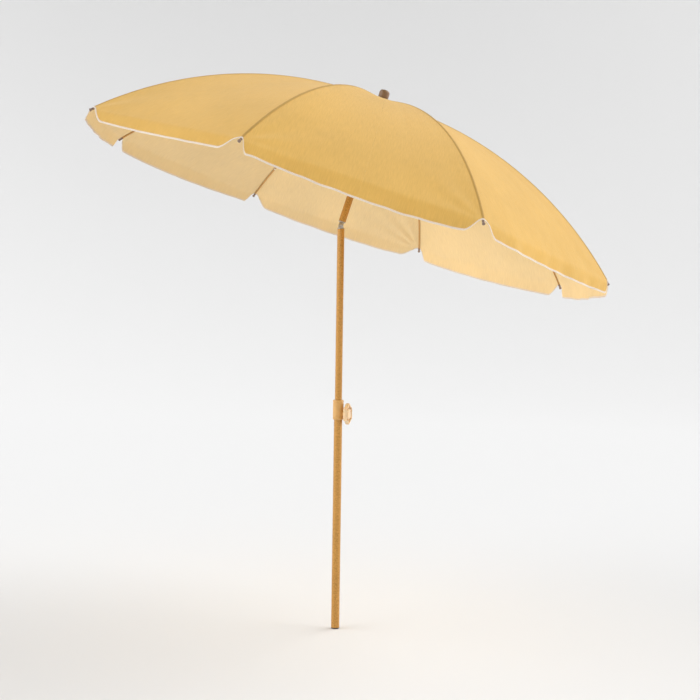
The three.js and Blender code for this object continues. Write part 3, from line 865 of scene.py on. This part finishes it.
print("a spring of", COILS, "turns behind the button, at height", round(button_height, 1), "mm")

# %% [markdown]
# The hub at the top is a moulding with eight notches. The ribs' eyes are threaded on a ring of
# wire laid in a groove of the hub. The body is turned and the notches are then cut with eight
# blocks, one in each rib's plane, so that they can't drift from the ribs.

# %% Hub and its wire
hub_mm = (hub_radius / MM, hub_height / MM)


def notches(inner, outer, width, low, high):
    """Eight cutters, one for each rib, between two radii and two heights."""
    size = (outer - inner, width, high - low)
    centre = ((inner + outer) / 2, 0, (low + high) / 2)
    return [brick("cutter", size, centre, rib_place(n)) for n in NUMBERS]


hub_piece = turned("hub_moulding", [
    (12.3, 400.4), (12.7, 400), (14.9, 400), (15.3, 400.4), (15.3, 416.5), (16.2, 418.4),
    (28.8, 420), (29.7, 420.7), (30, 421.6), (30, 432.2), (29.2, 433.7), (27.2, 434.5),
    (5.5, 434.5), (5.5, 430.3), (12.3, 430.3)], head_place, 64)
cut(hub_piece, *notches(15.8, 35, 5.6, 410, 433), ring(
    "cutter", hub_mm[0] - 1.7, hub_mm[0] + 1.7, hub_mm[1] - 1.7, 440, head_place, 0.01, 64))
finish_piece(hub_piece, dark_plastic, "head", "dark_plastic", "hub")

wire = turned("wire_ring", [
    (hub_mm[0] + across, hub_mm[1] + above) for across, above in circle(1.1, 12)], head_place, 72)
finish_piece(wire, spring_steel, "head", "bare_metal", "hub_wire")
print("hub heights", heights("hub"))

# %% [markdown]
# The runner slides on the pole below the hub and carries the stretchers in eight notches of its
# own. Its collar has a flared lip for the fingers and a thin flange, made by the same lathe. The
# finial is the dark cap that screws down on top and clamps the cloth and the wire in place.

# %% Runner and finial
runner_low = heights("runner")[0]
RUNNER_PIVOT = (25.0, runner_low + 45)
mid = RUNNER_PIVOT[1]
runner_piece = turned("runner_moulding", [
    (12.6, runner_low + 0.4), (13, runner_low), (17.8, runner_low), (18.6, runner_low + 0.8),
    (17.6, runner_low + 4.5), (15.8, runner_low + 8.4), (15.6, mid - 7.2), (16.4, mid - 5.8),
    (30.2, mid - 5), (31, mid - 4.2), (31, mid + 4.2), (30.2, mid + 5), (16.4, mid + 5.8),
    (15.6, mid + 7.2), (15.6, mid + 13.4), (15, mid + 14), (13, mid + 14), (12.6, mid + 13.6)],
    head_place, 64)
cut(runner_piece, *notches(19.6, 36, 5.4, mid - 20, mid + 20))
finish_piece(runner_piece, dark_plastic, "runner", "dark_plastic", "runner")

finial_low, finial_high = heights("finial")
rim_low = finial_high - 32
finial_piece = turned("finial_cap", [
    (0, finial_low), (4.6, finial_low), (5, finial_low + 0.4), (5, rim_low), (16.6, rim_low),
    (17.5, rim_low + 0.9), (17.5, rim_low + 5), (16.9, rim_low + 5.6), (16.9, rim_low + 6.6),
    (17.5, rim_low + 7.2), (17.5, finial_high - 12), (17.1, finial_high - 8.6),
    (16.2, finial_high - 5.6), (14.6, finial_high - 3.1), (12, finial_high - 1.4),
    (8.5, finial_high - 0.45), (4, finial_high - 0.05), (0, finial_high)], head_place, 64)
finish_piece(finial_piece, brown_plastic, "head", "brown_plastic", "finial")
print("stretchers turn at height", round(mid, 2), "mm and the finial ends at", round(finial_high, 2))

# %% [markdown]
# Each rib is a thin steel rod that the taut cloth bows into an arc. A rod of this kind is drawn,
# cut, flattened and pierced at the hub end, and a small pressed lug is clenched on for the
# stretcher. The arc is worked out from where the rib starts and ends, with a radius of 1.275 m.

# %% The bow of a rib
BOW = 1.275
rib_reach, rib_end_height = 0.9, 0.0675
chord = Vector((rib_reach - hub_radius, rib_end_height - hub_height))
half_bow = math.asin(chord.length / 2 / BOW)
start_slope = math.atan2(chord.y, chord.x) + half_bow
rib_length = 2 * half_bow * BOW


def rib_point(distance, above=0.0):
    """Where a rib is at a distance along it, in its own plane; numbers or arrays of them."""
    slope = start_slope - distance / BOW
    x = hub_radius + BOW * (math.sin(start_slope) - np.sin(slope)) - above * np.sin(slope)
    z = hub_height + BOW * (np.cos(slope) - math.cos(start_slope)) + above * np.cos(slope)
    return x, z


print("a rib is", round(rib_length, 4), "m long and climbs at", round(start_slope, 4), "at first")

# %% [markdown]
# Each stretcher is a straight rod. A small fork at its outer end is pinned to the rib's lug, and
# an eye at its inner end turns in the runner's notch. A turned cap closes the end of each rib and
# holds the corner of the cloth. All eight are the same, so one function each makes them.

# %% Ribs, stretchers and tips
LUG_PLACE, LUG_DROP = 0.18, 0.008
lug_pivot = Vector(rib_point(LUG_PLACE, -LUG_DROP))
lug_top = Vector(rib_point(LUG_PLACE))
runner_pivot = Vector(RUNNER_PIVOT) * MM
down = (runner_pivot - lug_pivot).normalized()
stretcher_length = (runner_pivot - lug_pivot).length


def upright(x, z, slope=0.0):
    """A place in a rib's plane, in metres, with X turned up to a slope."""
    return Matrix.Translation((x, 0, z)) @ Matrix.Rotation(-slope, 4, "Y")


def eye(name, radius, hole, width, x, z, place, middle=0.0):
    where = place @ Matrix.Translation((x, middle * MM, z)) @ ALONG_Y
    return ring(name, hole, radius, -width / 2, width / 2, where, 0.25, 24)


def make_rib(n):
    place = rib_place(n)
    lug_slope = start_slope - LUG_PLACE / BOW
    distances = np.linspace(0.006, rib_length, 49)
    parts = [rod("bar", list(zip(*rib_point(distances))), mm(circle(2.5, 16)), place)]
    parts.append(eye("eye", 4, 1.7, 3.4, hub_radius, hub_height, place))
    neck_at = rib_point(0.0063)
    parts.append(brick("flat", (7, 3.4, 4.4), (0, 0, 0), place @ upright(*neck_at), 0.6))
    parts.append(eye("lug", 3.6, 1.3, 2.4, lug_pivot.x, lug_pivot.y, place))
    middle = (lug_top + lug_pivot) / 2
    parts.append(brick("neck", (6, 2.4, 6.4), (0, 0, 0), place @ upright(*middle, lug_slope), 0.4))
    clench = place @ upright(*lug_top, lug_slope) @ ALONG_X
    parts.append(ring("clench", 2.5, 3.2, -5.5, 5.5, clench, 0.3, 20))
    whole = join(parts, f"rib_{n}_rod")
    finish_piece(whole, rib_paint, f"rib_{n}", "rib_paint", f"rib_{n}")
    where = place @ Matrix.Translation((lug_pivot.x, 0, lug_pivot.y)) @ ALONG_Y
    rivet = turned(f"rib_{n}_rivet", [
        (0, -4.3), (1.6, -4.1), (2.4, -3.5), (2.4, -3.3), (1.1, -3.3), (1.1, 3.3), (2.4, 3.3),
        (2.4, 3.5), (1.6, 4.1), (0, 4.3)], where, 20)
    finish_piece(rivet, bare_metal, f"rib_{n}", "bare_metal")
    return whole


def make_stretcher(n):
    place = rib_place(n)
    along = math.atan2(down.y, down.x)

    def on(distance):
        return lug_pivot + down * distance

    path = [tuple(on(d)) for d in np.linspace(0.007, stretcher_length - 0.004, 9)]
    parts = [rod("bar", path, mm(circle(2.2, 16)), place)]
    parts.append(brick("bridge", (6, 6.4, 4.5), (0, 0, 0), place @ upright(*on(0.008), along), 0.5))
    for side in (-1, 1):
        parts.append(eye("cheek", 3.4, 1.3, 1.5, lug_pivot.x, lug_pivot.y, place, side * 2.45))
        arm_at = place @ upright(*on(0.0052), along)
        parts.append(brick("arm", (5.4, 1.5, 4.5), (0, side * 2.45, 0), arm_at, 0.3))
    parts.append(eye("eye", 3.5, 1.3, 3, runner_pivot.x, runner_pivot.y, place))
    whole = join(parts, f"stretcher_{n}_rod")
    return finish_piece(whole, rib_paint, f"stretcher_{n}", "rib_paint", f"stretcher_{n}")


def make_tip(n):
    end = rib_point(rib_length)
    out = start_slope - (rib_length - 0.0045) / BOW
    cap = turned(f"tip_{n}_cap", [
        (2.8, -9), (3.3, -9), (3.6, -8.6), (3.6, 3), (3.9, 4), (4.6, 5), (4.8, 5.8),
        (4.8, 7.2), (4.3, 8.4), (3.2, 9.2), (1.8, 9.4), (0.2, 9.4), (0.2, 0.3), (2.8, 0.3)],
        rib_place(n) @ upright(*end, out) @ ALONG_X, 32)
    return finish_piece(cap, tip_plastic, f"rib_{n}", "tip_plastic", f"rib_tip_{n}")


for n in NUMBERS:
    make_rib(n)
    make_stretcher(n)
    make_tip(n)
print("eight ribs, stretchers and tips; a stretcher is", round(stretcher_length, 4), "m long")

# %% [markdown]
# The canopy is eight gores sewn edge to edge along the ribs. A gore is cut from flat cloth and
# pulled tight by the ribs' spring, so it bows along its length and sags a little between the
# ribs. At the hem it bends down into a short hanging valance, which rises to each rib's tip.
# One function gives a point of the cloth: across runs from -1 at one rib to 1 at the next, and
# along is the distance from the hub, over the hem and down the valance. A cloth simulation could
# find the same shape, but a formula is the same each time and lets both halves of a gore, the
# tape and the stitches follow one surface exactly.

# %% The line of a gore
CLOTH_LIFT, OVER_HUB, OVER_HUB_REACH = 0.0034, 0.0065, 0.12
CLOTH_MIDDLE = 0.0006
CLOTH_HALF = 0.0003
CLOTH_START = 0.010
CLOTH_END = rib_length - 0.005
VALANCE = 0.045
SAG = 0.010
HEM_BEND = math.radians(29)
HEM_BEND_LENGTH = 0.022

hem_half_width = float(rib_point(CLOTH_END)[0]) * math.sin(HALF_GORE)
drops = np.linspace(0, 0.09, 181)
end_slope = start_slope - CLOTH_END / BOW


def smooth(value):
    value = np.clip(value, 0, 1)
    return value * value * (3 - 2 * value)


def hem_slope(drop):
    return end_slope - HEM_BEND * smooth(drop / HEM_BEND_LENGTH)


drop_slopes = hem_slope(drops)
drop_out = np.concatenate([[0], np.cumsum(np.cos(drop_slopes[1:]) * np.diff(drops))])
drop_down = np.concatenate([[0], np.cumsum(np.sin(drop_slopes[1:]) * np.diff(drops))])
print("the hem bends from", round(math.degrees(end_slope), 1), "to",
      round(math.degrees(drop_slopes[-1]), 1), "degrees")

# %% [markdown]
# No two gores hang alike, because each was cut and sewn by hand. A style for each holds how far
# from the ribs its valance reaches full length, how deep it bellies, and the slack and creases
# that a fixed random seed chooses. Real creases run out from the rib tips, where the pull is.

# %% A style for each gore
rng = np.random.default_rng(41)
CORNER_REACHES = [  # how far from each rib the valance reaches its full length, in metres
    (0.085, 0.066), (0.024, 0.045), (0.060, 0.020), (0.025, 0.024),
    (0.050, 0.030), (0.066, 0.056), (0.024, 0.038), (0.020, 0.030),
]
BELLIES = [  # how much longer the valance is at its middle, and how that leans to one side
    (0.15, 0.0), (0.42, 0.2), (0.2, 0.1), (0.2, 0.0),
    (0.3, 0.0), (0.32, 0.0), (0.3, 0.1), (0.2, 0.0),
]
gore_style = [
    {
        "reach": reach,
        "sag": SAG * rng.uniform(0.8, 1.35),
        "waves": [(k, rng.uniform(-1, 1), rng.uniform(0, math.tau)) for k in (1.5, 2.5, 4, 6, 9)],
        "creases": [(rng.uniform(0.5, 1.0), rng.integers(4, 8), rng.uniform(0, math.tau))
                    for _ in range(2)],
        "pucker": rng.uniform(0, math.tau, 4),
        "drop": rng.uniform(0.98, 1.06),
        "belly": belly,
    }
    for reach, belly in zip(CORNER_REACHES, BELLIES)
]
gore_style[5]["creases"][0] = (1.5, 12, 0.4)       # one corner is creased more than the rest


def full_drop(style, across):
    """The valance's length below a point of the hem: short at the ribs, in an S curve."""
    x = rib_point(CLOTH_END)[0]
    from_rib = x * math.sin(HALF_GORE) * (1 - np.abs(across))
    reach = np.where(across < 0, style["reach"][0], style["reach"][1])
    fullness = np.maximum(smooth((from_rib - 0.002) / reach) ** 0.8, 0.03)
    swing = sum(a * 0.022 * np.sin(k * math.pi * across + p) for k, a, p in style["waves"][:3])
    middle, skew = style["belly"]
    belly = (middle + skew * across) * (1 - across ** 2)
    return VALANCE * style["drop"] * fullness * (1 + swing + belly)


lengths = [float(full_drop(style, np.zeros(1))[0]) for style in gore_style]
print("the valances hang", [round(length, 3) for length in lengths])

# %% [markdown]
# The surface itself is the rib's arc, let down between the ribs and lifted by slack, creases and
# the pucker of the seams. Each of these is nought at the ribs, so that neighbouring gores meet
# there without a gap. The way the cloth faces is found from points a little to each side.

# %% The shape of a gore
HEM_SLACK = 0.0013
BODY_SLACK = 0.00072
CREASE_HEIGHT = 0.0042
PUCKER_HEIGHT = 0.00028
SEAM_HEIGHT = 0.0008


def cloth_middle_points(n, across, along):
    """Points of the cloth's middle layer in the gore's own axes; arrays in, an array out."""
    style = gore_style[n - 1]
    d = np.minimum(along, CLOTH_END)
    drop = np.maximum(along - CLOTH_END, 0)
    over = OVER_HUB * np.maximum(0, 1 - d / OVER_HUB_REACH) ** 2
    x, z = rib_point(d, CLOTH_LIFT + CLOTH_MIDDLE + over)
    half = x * math.sin(HALF_GORE)
    from_rib = half * (1 - np.abs(across))
    inwards = 1 - np.abs(across)
    share = d / rib_length
    z = z - style["sag"] * 4 * share * (1 - share) * inwards * (2 - inwards)
    slope = np.where(drop > 0, hem_slope(drop), start_slope - d / BOW)
    side = np.where(across < 0, 0, 1)

    near_hem = np.exp(-(CLOTH_END - d) / 0.13)
    hanging = drop / VALANCE
    edge = smooth(from_rib / 0.05)
    waves = sum(a * np.sin(k * math.pi * across + p) / (1 + 0.12 * k)
                for k, a, p in style["waves"])
    lift = HEM_SLACK * waves * edge * near_hem * (1 + 1.6 * hanging)
    lift += BODY_SLACK * waves * edge * np.sin(math.pi * share)
    for which in (0, 1):
        size, folds, phase = style["creases"][which]
        out_of_tip = rib_length - d + drop * 0.4
        away = np.hypot(from_rib, out_of_tip)
        turn = np.arctan2(from_rib, out_of_tip + 1e-6)
        crease = np.sin(folds * turn + phase) * smooth(away / 0.09) * np.exp(-away / 0.13)
        crease = crease * smooth(np.abs(across) / 0.35) * smooth(from_rib / 0.03)
        lift += np.where(side == which, CREASE_HEIGHT * size * crease, 0)
    pucker = np.sin(along * math.tau / 0.031 + style["pucker"][0])
    pucker += 0.7 * np.sin(along * math.tau / 0.047 + style["pucker"][1])
    lift += PUCKER_HEIGHT * pucker * smooth(from_rib / 0.005) * np.exp(-from_rib / 0.02)
    lift += SEAM_HEIGHT * (1 - smooth((from_rib - 0.0036) / 0.0012))

    out = x * math.cos(HALF_GORE) + np.interp(drop, drops, drop_out)
    height = z + np.interp(drop, drops, drop_down)
    return np.stack([
        out - lift * np.sin(slope), half * across, height + lift * np.cos(slope)], axis=-1)


def cloth_normals(n, across, along):
    """Which way the cloth faces at points of it, from points a little to each side."""
    small_across = 0.0015
    small_along = 0.0012
    a = cloth_middle_points(n, across + small_across, along)
    b = cloth_middle_points(n, across - small_across, along)
    c = cloth_middle_points(n, across, along + small_along)
    d = cloth_middle_points(n, across, along - small_along)
    normals = np.cross(c - d, a - b)
    return normals / np.linalg.norm(normals, axis=-1)[..., None]


middle = cloth_middle_points(1, np.zeros(3), np.array([0.1, 0.5, CLOTH_END]))
print("gore 1 down its middle:", middle.round(3).tolist())

# %% [markdown]
# When the umbrella is closed the gores fold along their middles, and each half of a gore turns
# with the rib at its edge. Here a half gore, its hem and its stitches only have their place
# baked into their meshes; no weights are given.

# %% The two halves of a gore
HALVES = {"first": -1, "second": 1}


def rib_beside(n, half):
    return n if half == "first" else n % RIB_COUNT + 1


def fold_weights(piece, n, half):
    """Finds the cloth's point at the rib and at the fold, which nothing uses, and bakes the piece's
    place into its mesh.
    """
    place = gore_place(n)
    side = HALVES[half]
    start = place @ Vector(cloth_middle_points(n, np.array([side * 1.0]), np.array([0.5]))[0])
    end = place @ Vector(cloth_middle_points(n, np.array([0.0]), np.array([0.5]))[0])
    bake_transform(piece)


def vertex_of_corners(mesh):
    """Which vertex each face corner of a mesh uses."""
    loops = np.zeros(len(mesh.loops), np.int32)
    mesh.loops.foreach_get("vertex_index", loops)
    return loops


def map_cut(mesh, flat):
    """Gives a mesh its map in metres, as the cloth lay when it was cut, from one pair a vertex."""
    corners = flat[vertex_of_corners(mesh)]
    mesh.uv_layers.new(name="cut").data.foreach_set("uv", corners.ravel())


print("rib 1 lies between gore 8's second half and gore 1's first:", rib_beside(8, "second"))

# %% [markdown]
# A half gore is a grid of points that is fine at the seam, where the cloth is felled double, and
# coarser in the open. It is a thin closed shell: an outer and an inner layer with a rim, because
# the outer face has the yellow cloth and the inner face the pale painted glow of light shining
# through, and a single sheet can't show both.

# %% The grid of a half gore
SEAM_COLUMNS = np.array([0.0, 1.2, 2.6, 3.6, 4.0, 4.4, 4.8, 6.5, 10.0, 16.0]) * MM
ROWS, HEM_ROWS, COLUMNS = 92, 10, 22
FOLD_GAP = 0.00006


def half_gore_grid(n, half):
    """across and along for a grid of points, its first column at the rib, its last at the fold."""
    side = HALVES[half]
    near = SEAM_COLUMNS
    shares = np.linspace(0, 1, COLUMNS + 1)[1:]
    upper = CLOTH_START + (CLOTH_END - CLOTH_START) * np.linspace(0, 1, ROWS) ** 0.92
    lower = np.linspace(0, 1, HEM_ROWS + 1)[1:]
    all_across, all_along = [], []
    for along in upper:
        half_width = rib_point(along)[0] * math.sin(HALF_GORE)
        limit = np.arange(len(near)) / len(near) * 0.5 * half_width
        close = np.minimum(near, limit)
        from_rib = np.concatenate([close, close[-1] + (half_width - close[-1]) * shares])
        from_rib[-1] -= FOLD_GAP
        all_across.append(side * (1 - from_rib / half_width))
        all_along.append(np.full(len(from_rib), along))
    across = all_across[-1]
    length = full_drop(gore_style[n - 1], across)
    for share in lower:
        all_across.append(across)
        all_along.append(CLOTH_END + length * share)
    return np.array(all_across), np.array(all_along)


print("a half gore has", half_gore_grid(1, "first")[0].shape, "points a layer")


# %% Half gores
def shell_faces(rows, columns, half):
    """Faces of the outer layer, of the inner layer and of the rim, all of them facing outwards."""
    faces = grid_faces(rows, columns)
    if half == "first":
        faces = [face[::-1] for face in faces]
    count = rows * columns
    under = [tuple(i + count for i in (a, d, c, b)) for a, b, c, d in faces]
    border = [(0, c) for c in range(columns)] + [(r, columns - 1) for r in range(1, rows)]
    border += [(rows - 1, c) for c in range(columns - 2, -1, -1)]
    border += [(r, 0) for r in range(rows - 2, 0, -1)]
    rim = [r * columns + c for r, c in border]
    sides = [(rim[k - 1], rim[k], rim[k] + count, rim[k - 1] + count) for k in range(len(rim))]
    if half == "second":
        sides = [face[::-1] for face in sides]
    return faces, under, sides


def smooth_layers(mesh, by_vertex, layer_faces):
    """Custom normals: the cloth's own on the two layers, and each face's own on the rim."""
    corner_normals = by_vertex[vertex_of_corners(mesh)]
    for face in mesh.polygons[layer_faces:]:
        corner_normals[face.loop_start:face.loop_start + face.loop_total] = face.normal
    mesh.normals_split_custom_set(corner_normals.tolist())


def make_half_gore(n, half):
    across, along = half_gore_grid(n, half)
    rows, columns = across.shape
    middle = cloth_middle_points(n, across, along)
    normals = cloth_normals(n, across, along)
    offset = np.full((rows, columns, 1), CLOTH_HALF)
    offset[:, -1] = -0.6 * CLOTH_HALF        # thinned where it folds inwards, so the halves clear
    outer = (middle + normals * offset).reshape(-1, 3)
    inner = (middle - normals * CLOTH_HALF).reshape(-1, 3)
    faces, under, sides = shell_faces(rows, columns, half)
    place = gore_place(n)
    piece = new_piece(f"gore_{n}_{half}_cloth", np.vstack([outer, inner]), faces + under + sides,
                      place, math.radians(60))
    mesh = piece.data
    mesh.materials.append(cloth_outside)
    mesh.materials.append(cloth_inside_painted_glow)
    material_of = np.zeros(len(mesh.polygons), np.int32)
    material_of[len(faces):2 * len(faces)] = 1
    mesh.polygons.foreach_set("material_index", material_of)

    half_width = rib_point(np.minimum(along, CLOTH_END))[0] * math.sin(HALF_GORE)
    from_rib = (half_width * (1 - np.abs(across))).ravel()
    flat = np.stack([(half_width * across).ravel(), along.ravel()], -1)
    map_cut(mesh, np.vstack([flat, flat]))
    layers = 1 - smooth((from_rib - 0.0041) / 0.0008)
    attribute = mesh.attributes.new("layers", "FLOAT", "POINT")
    attribute.data.foreach_set("value", np.concatenate([layers, layers]).astype(np.float32))

    facing = normals.reshape(-1, 3) @ np.array(place.to_3x3()).T
    smooth_layers(mesh, np.vstack([facing, -facing]), 2 * len(faces))

    fold_weights(piece, n, half)
    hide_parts(f"gore_{n}_{half}")
    return piece


gores = {(n, half): make_half_gore(n, half) for n in NUMBERS for half in HALVES}


def cloth_area(piece):
    """The area of a half gore, measured on its inner layer."""
    return sum(face.area for face in piece.data.polygons if face.material_index == 1)


print("a half gore has", round(cloth_area(gores[1, "first"]), 4), "square metres of cloth")

# %% [markdown]
# The hem's edge is bound with a pale tape, folded over it and stitched through. Bias tape takes
# the curve at the corners without puckering. Its section is a flat hairpin that runs along the
# edge, a little proud of the cloth on both sides.

# %% Hem binding
TAPE_SECTION = mm([
    (5.2, 0.34), (5.1, 0.72), (4.2, 0.82), (2.9, 0.74), (1.2, 0.84), (0.2, 0.8), (-0.4, 0.5),
    (-0.6, 0.0), (-0.4, -0.5), (0.2, -0.8), (1.2, -0.84), (2.9, -0.74), (4.2, -0.82),
    (5.1, -0.72), (5.2, -0.34)])


TAPE_STEPS = 90


def make_binding(n, half):
    to_fold = 1 - FOLD_GAP / hem_half_width
    across = HALVES[half] * (1 - np.linspace(0, 1, TAPE_STEPS) ** 1.25 * to_fold)
    length = full_drop(gore_style[n - 1], across)
    points, map_points = [], []
    for back_from_edge, off in TAPE_SECTION:
        along = CLOTH_END + length - back_from_edge
        middle = cloth_middle_points(n, across, along)
        normals = cloth_normals(n, across, along)
        points.append(middle + normals * off)
        width_of_tape = np.full(TAPE_STEPS, back_from_edge + off)
        map_points.append(np.stack([across * hem_half_width, width_of_tape], -1))
    count = len(TAPE_SECTION)
    points = np.stack(points, 1).reshape(-1, 3)
    map_points = np.stack(map_points, 1).reshape(-1, 2)
    last = (TAPE_STEPS - 1) * count
    faces = grid_faces(TAPE_STEPS, count, wrap_columns=True)
    faces += [tuple(range(count))[::-1], tuple(last + k for k in range(count))]
    piece = new_piece(f"gore_{n}_{half}_binding", points, faces, gore_place(n))
    tidy_normals(piece)
    piece.data.materials.append(binding_cloth)
    map_cut(piece.data, map_points)
    fold_weights(piece, n, half)
    return piece


bindings = {(n, half): make_binding(n, half) for n in NUMBERS for half in HALVES}
print(len(bindings), "lengths of tape")

# %% [markdown]
# Two rows of lockstitch hold each felled seam, one on each side, and one row holds the tape. A
# stitch is a grain of thread that dips into the cloth at both ends.

# %% Stitches
PITCH = 0.0042
STITCH = 0.0031
THREAD_WIDTH, THREAD_HEIGHT = 0.00042, 0.00034
SEAM_LINE, TAPE_LINE = 0.0027, 0.0029    # how far in from the rib, and up from the hem's edge
TAPE_THICKNESS = 0.00045


def grains(starts, ends, normals):
    """Small eight-sided grains from starts to ends, lying on the cloth."""
    along = ends - starts
    sideways = np.cross(normals, along)
    sideways /= np.linalg.norm(sideways, axis=-1)[:, None]
    middle = (starts + ends) / 2
    corners = [starts, ends, middle + sideways * THREAD_WIDTH, middle - sideways * THREAD_WIDTH,
               middle + normals * THREAD_HEIGHT, middle - normals * 0.0001]
    points = np.stack(corners, 1).reshape(-1, 3)
    shape = [(0, 2, 4), (2, 1, 4), (1, 3, 4), (3, 0, 4), (2, 0, 5), (1, 2, 5), (3, 1, 5), (0, 3, 5)]
    faces = [tuple(6 * k + i for i in face[::-1]) for k in range(len(starts)) for face in shape]
    return points, faces


def stitch_run(n, across, along):
    """A row of stitches along a line of the cloth that is given point by point."""
    normals = cloth_normals(n, across, along)
    line = cloth_middle_points(n, across, along) + normals * (CLOTH_HALF + 0.00005)
    travelled = np.concatenate([[0], np.cumsum(np.linalg.norm(np.diff(line, axis=0), axis=1))])
    places = np.arange(PITCH, travelled[-1] - PITCH, PITCH)

    def on_line(values, wanted):
        return np.stack([np.interp(wanted, travelled, values[:, k]) for k in range(3)], -1)

    starts, ends = on_line(line, places), on_line(line, places + STITCH)
    facing = on_line(normals, places + STITCH / 2)
    points, faces = grains(starts, ends, facing)
    inwards = np.interp(places + STITCH / 2, travelled, 1 - np.abs(across))
    return points, faces, np.repeat(inwards, 6)


def make_stitches(n, half):
    """The row beside the seam and the row on the tape, which stands proud by its thickness."""
    side = HALVES[half]
    along = np.linspace(0.045, CLOTH_END, 260)
    half_width = rib_point(along)[0] * math.sin(HALF_GORE)
    seam, seam_faces, seam_inwards = stitch_run(n, side * (1 - SEAM_LINE / half_width), along)
    across = side * (1 - np.linspace(0.004, 1, 260))
    down = CLOTH_END + full_drop(gore_style[n - 1], across) - TAPE_LINE
    tape, tape_faces, tape_inwards = stitch_run(n, across, down)
    tape = tape + cloth_normals(n, across[:1], down[:1]) * TAPE_THICKNESS
    faces = seam_faces + [tuple(i + len(seam) for i in face) for face in tape_faces]
    name = f"gore_{n}_{half}_stitches"
    piece = new_piece(name, np.vstack([seam, tape]), faces, gore_place(n), None)
    piece.data.materials.append(thread_finish)
    fold_weights(piece, n, half)
    return piece


stitches = {(n, half): make_stitches(n, half) for n in NUMBERS for half in HALVES}
print("stitches in a half gore:", len(stitches[1, "first"].data.vertices) // 6)

# %% [markdown]
# Small cloth loops hold the seams down to the ribs, so that wind can't lift the canopy off them.
# Each is a short band round the rod, so a lathe along the rib makes it.

# %% Rib ties
TIES = (0.30, 0.55, 0.80)
TIE_SECTION = [
    (2.75, -3.5), (3.25, -3.6), (3.35, -2.4), (3.3, 2.4), (3.25, 3.6), (2.75, 3.5), (2.7, 0)]


def make_ties(n):
    loops = []
    for distance in TIES:
        slope = start_slope - distance / BOW
        place = rib_place(n) @ upright(*rib_point(distance), slope) @ ALONG_X
        loops.append(turned("tie", TIE_SECTION, place, 24))
    whole = join(loops, f"rib_{n}_ties")
    whole.data.uv_layers.new(name="cut")
    finish_piece(whole, binding_cloth, f"rib_{n}", "cloth")


for n in NUMBERS:
    make_ties(n)
print("ties at", TIES, "m along each rib")

# %% [markdown]
# At the top a round patch of the same cloth covers the points of the eight gores, and the finial
# clamps it. The patch is a separate piece because it stays flat when the ribs fold. It is turned
# from the gores' own height near the hub, so it lies on them like a washer.

# %% Crown patch
PATCH_RADIUS = 0.040
PATCH_THICK = 0.0006
radii = np.linspace(0.0056, PATCH_RADIUS, 12)
patch_d = np.maximum(radii - hub_radius, 0.0)
patch_over = OVER_HUB * (1 - patch_d / OVER_HUB_REACH) ** 2
patch_z = rib_point(patch_d, CLOTH_LIFT + CLOTH_MIDDLE + patch_over)[1] + CLOTH_HALF + 0.0006
patch_z = np.minimum(patch_z, rim_low * MM - 0.0008)
under_side = list(zip(radii, patch_z))
upper_side = list(zip(radii[::-1], patch_z[::-1] + PATCH_THICK))
patch = lathe("crown_patch", under_side + upper_side, head_place, 64)
map_cut(patch.data, np.array([vertex.co.xy for vertex in patch.data.vertices]))
finish_piece(patch, cloth_outside, "head", "cloth")
print("crown patch at height", patch_z.round(4)[[0, -1]])
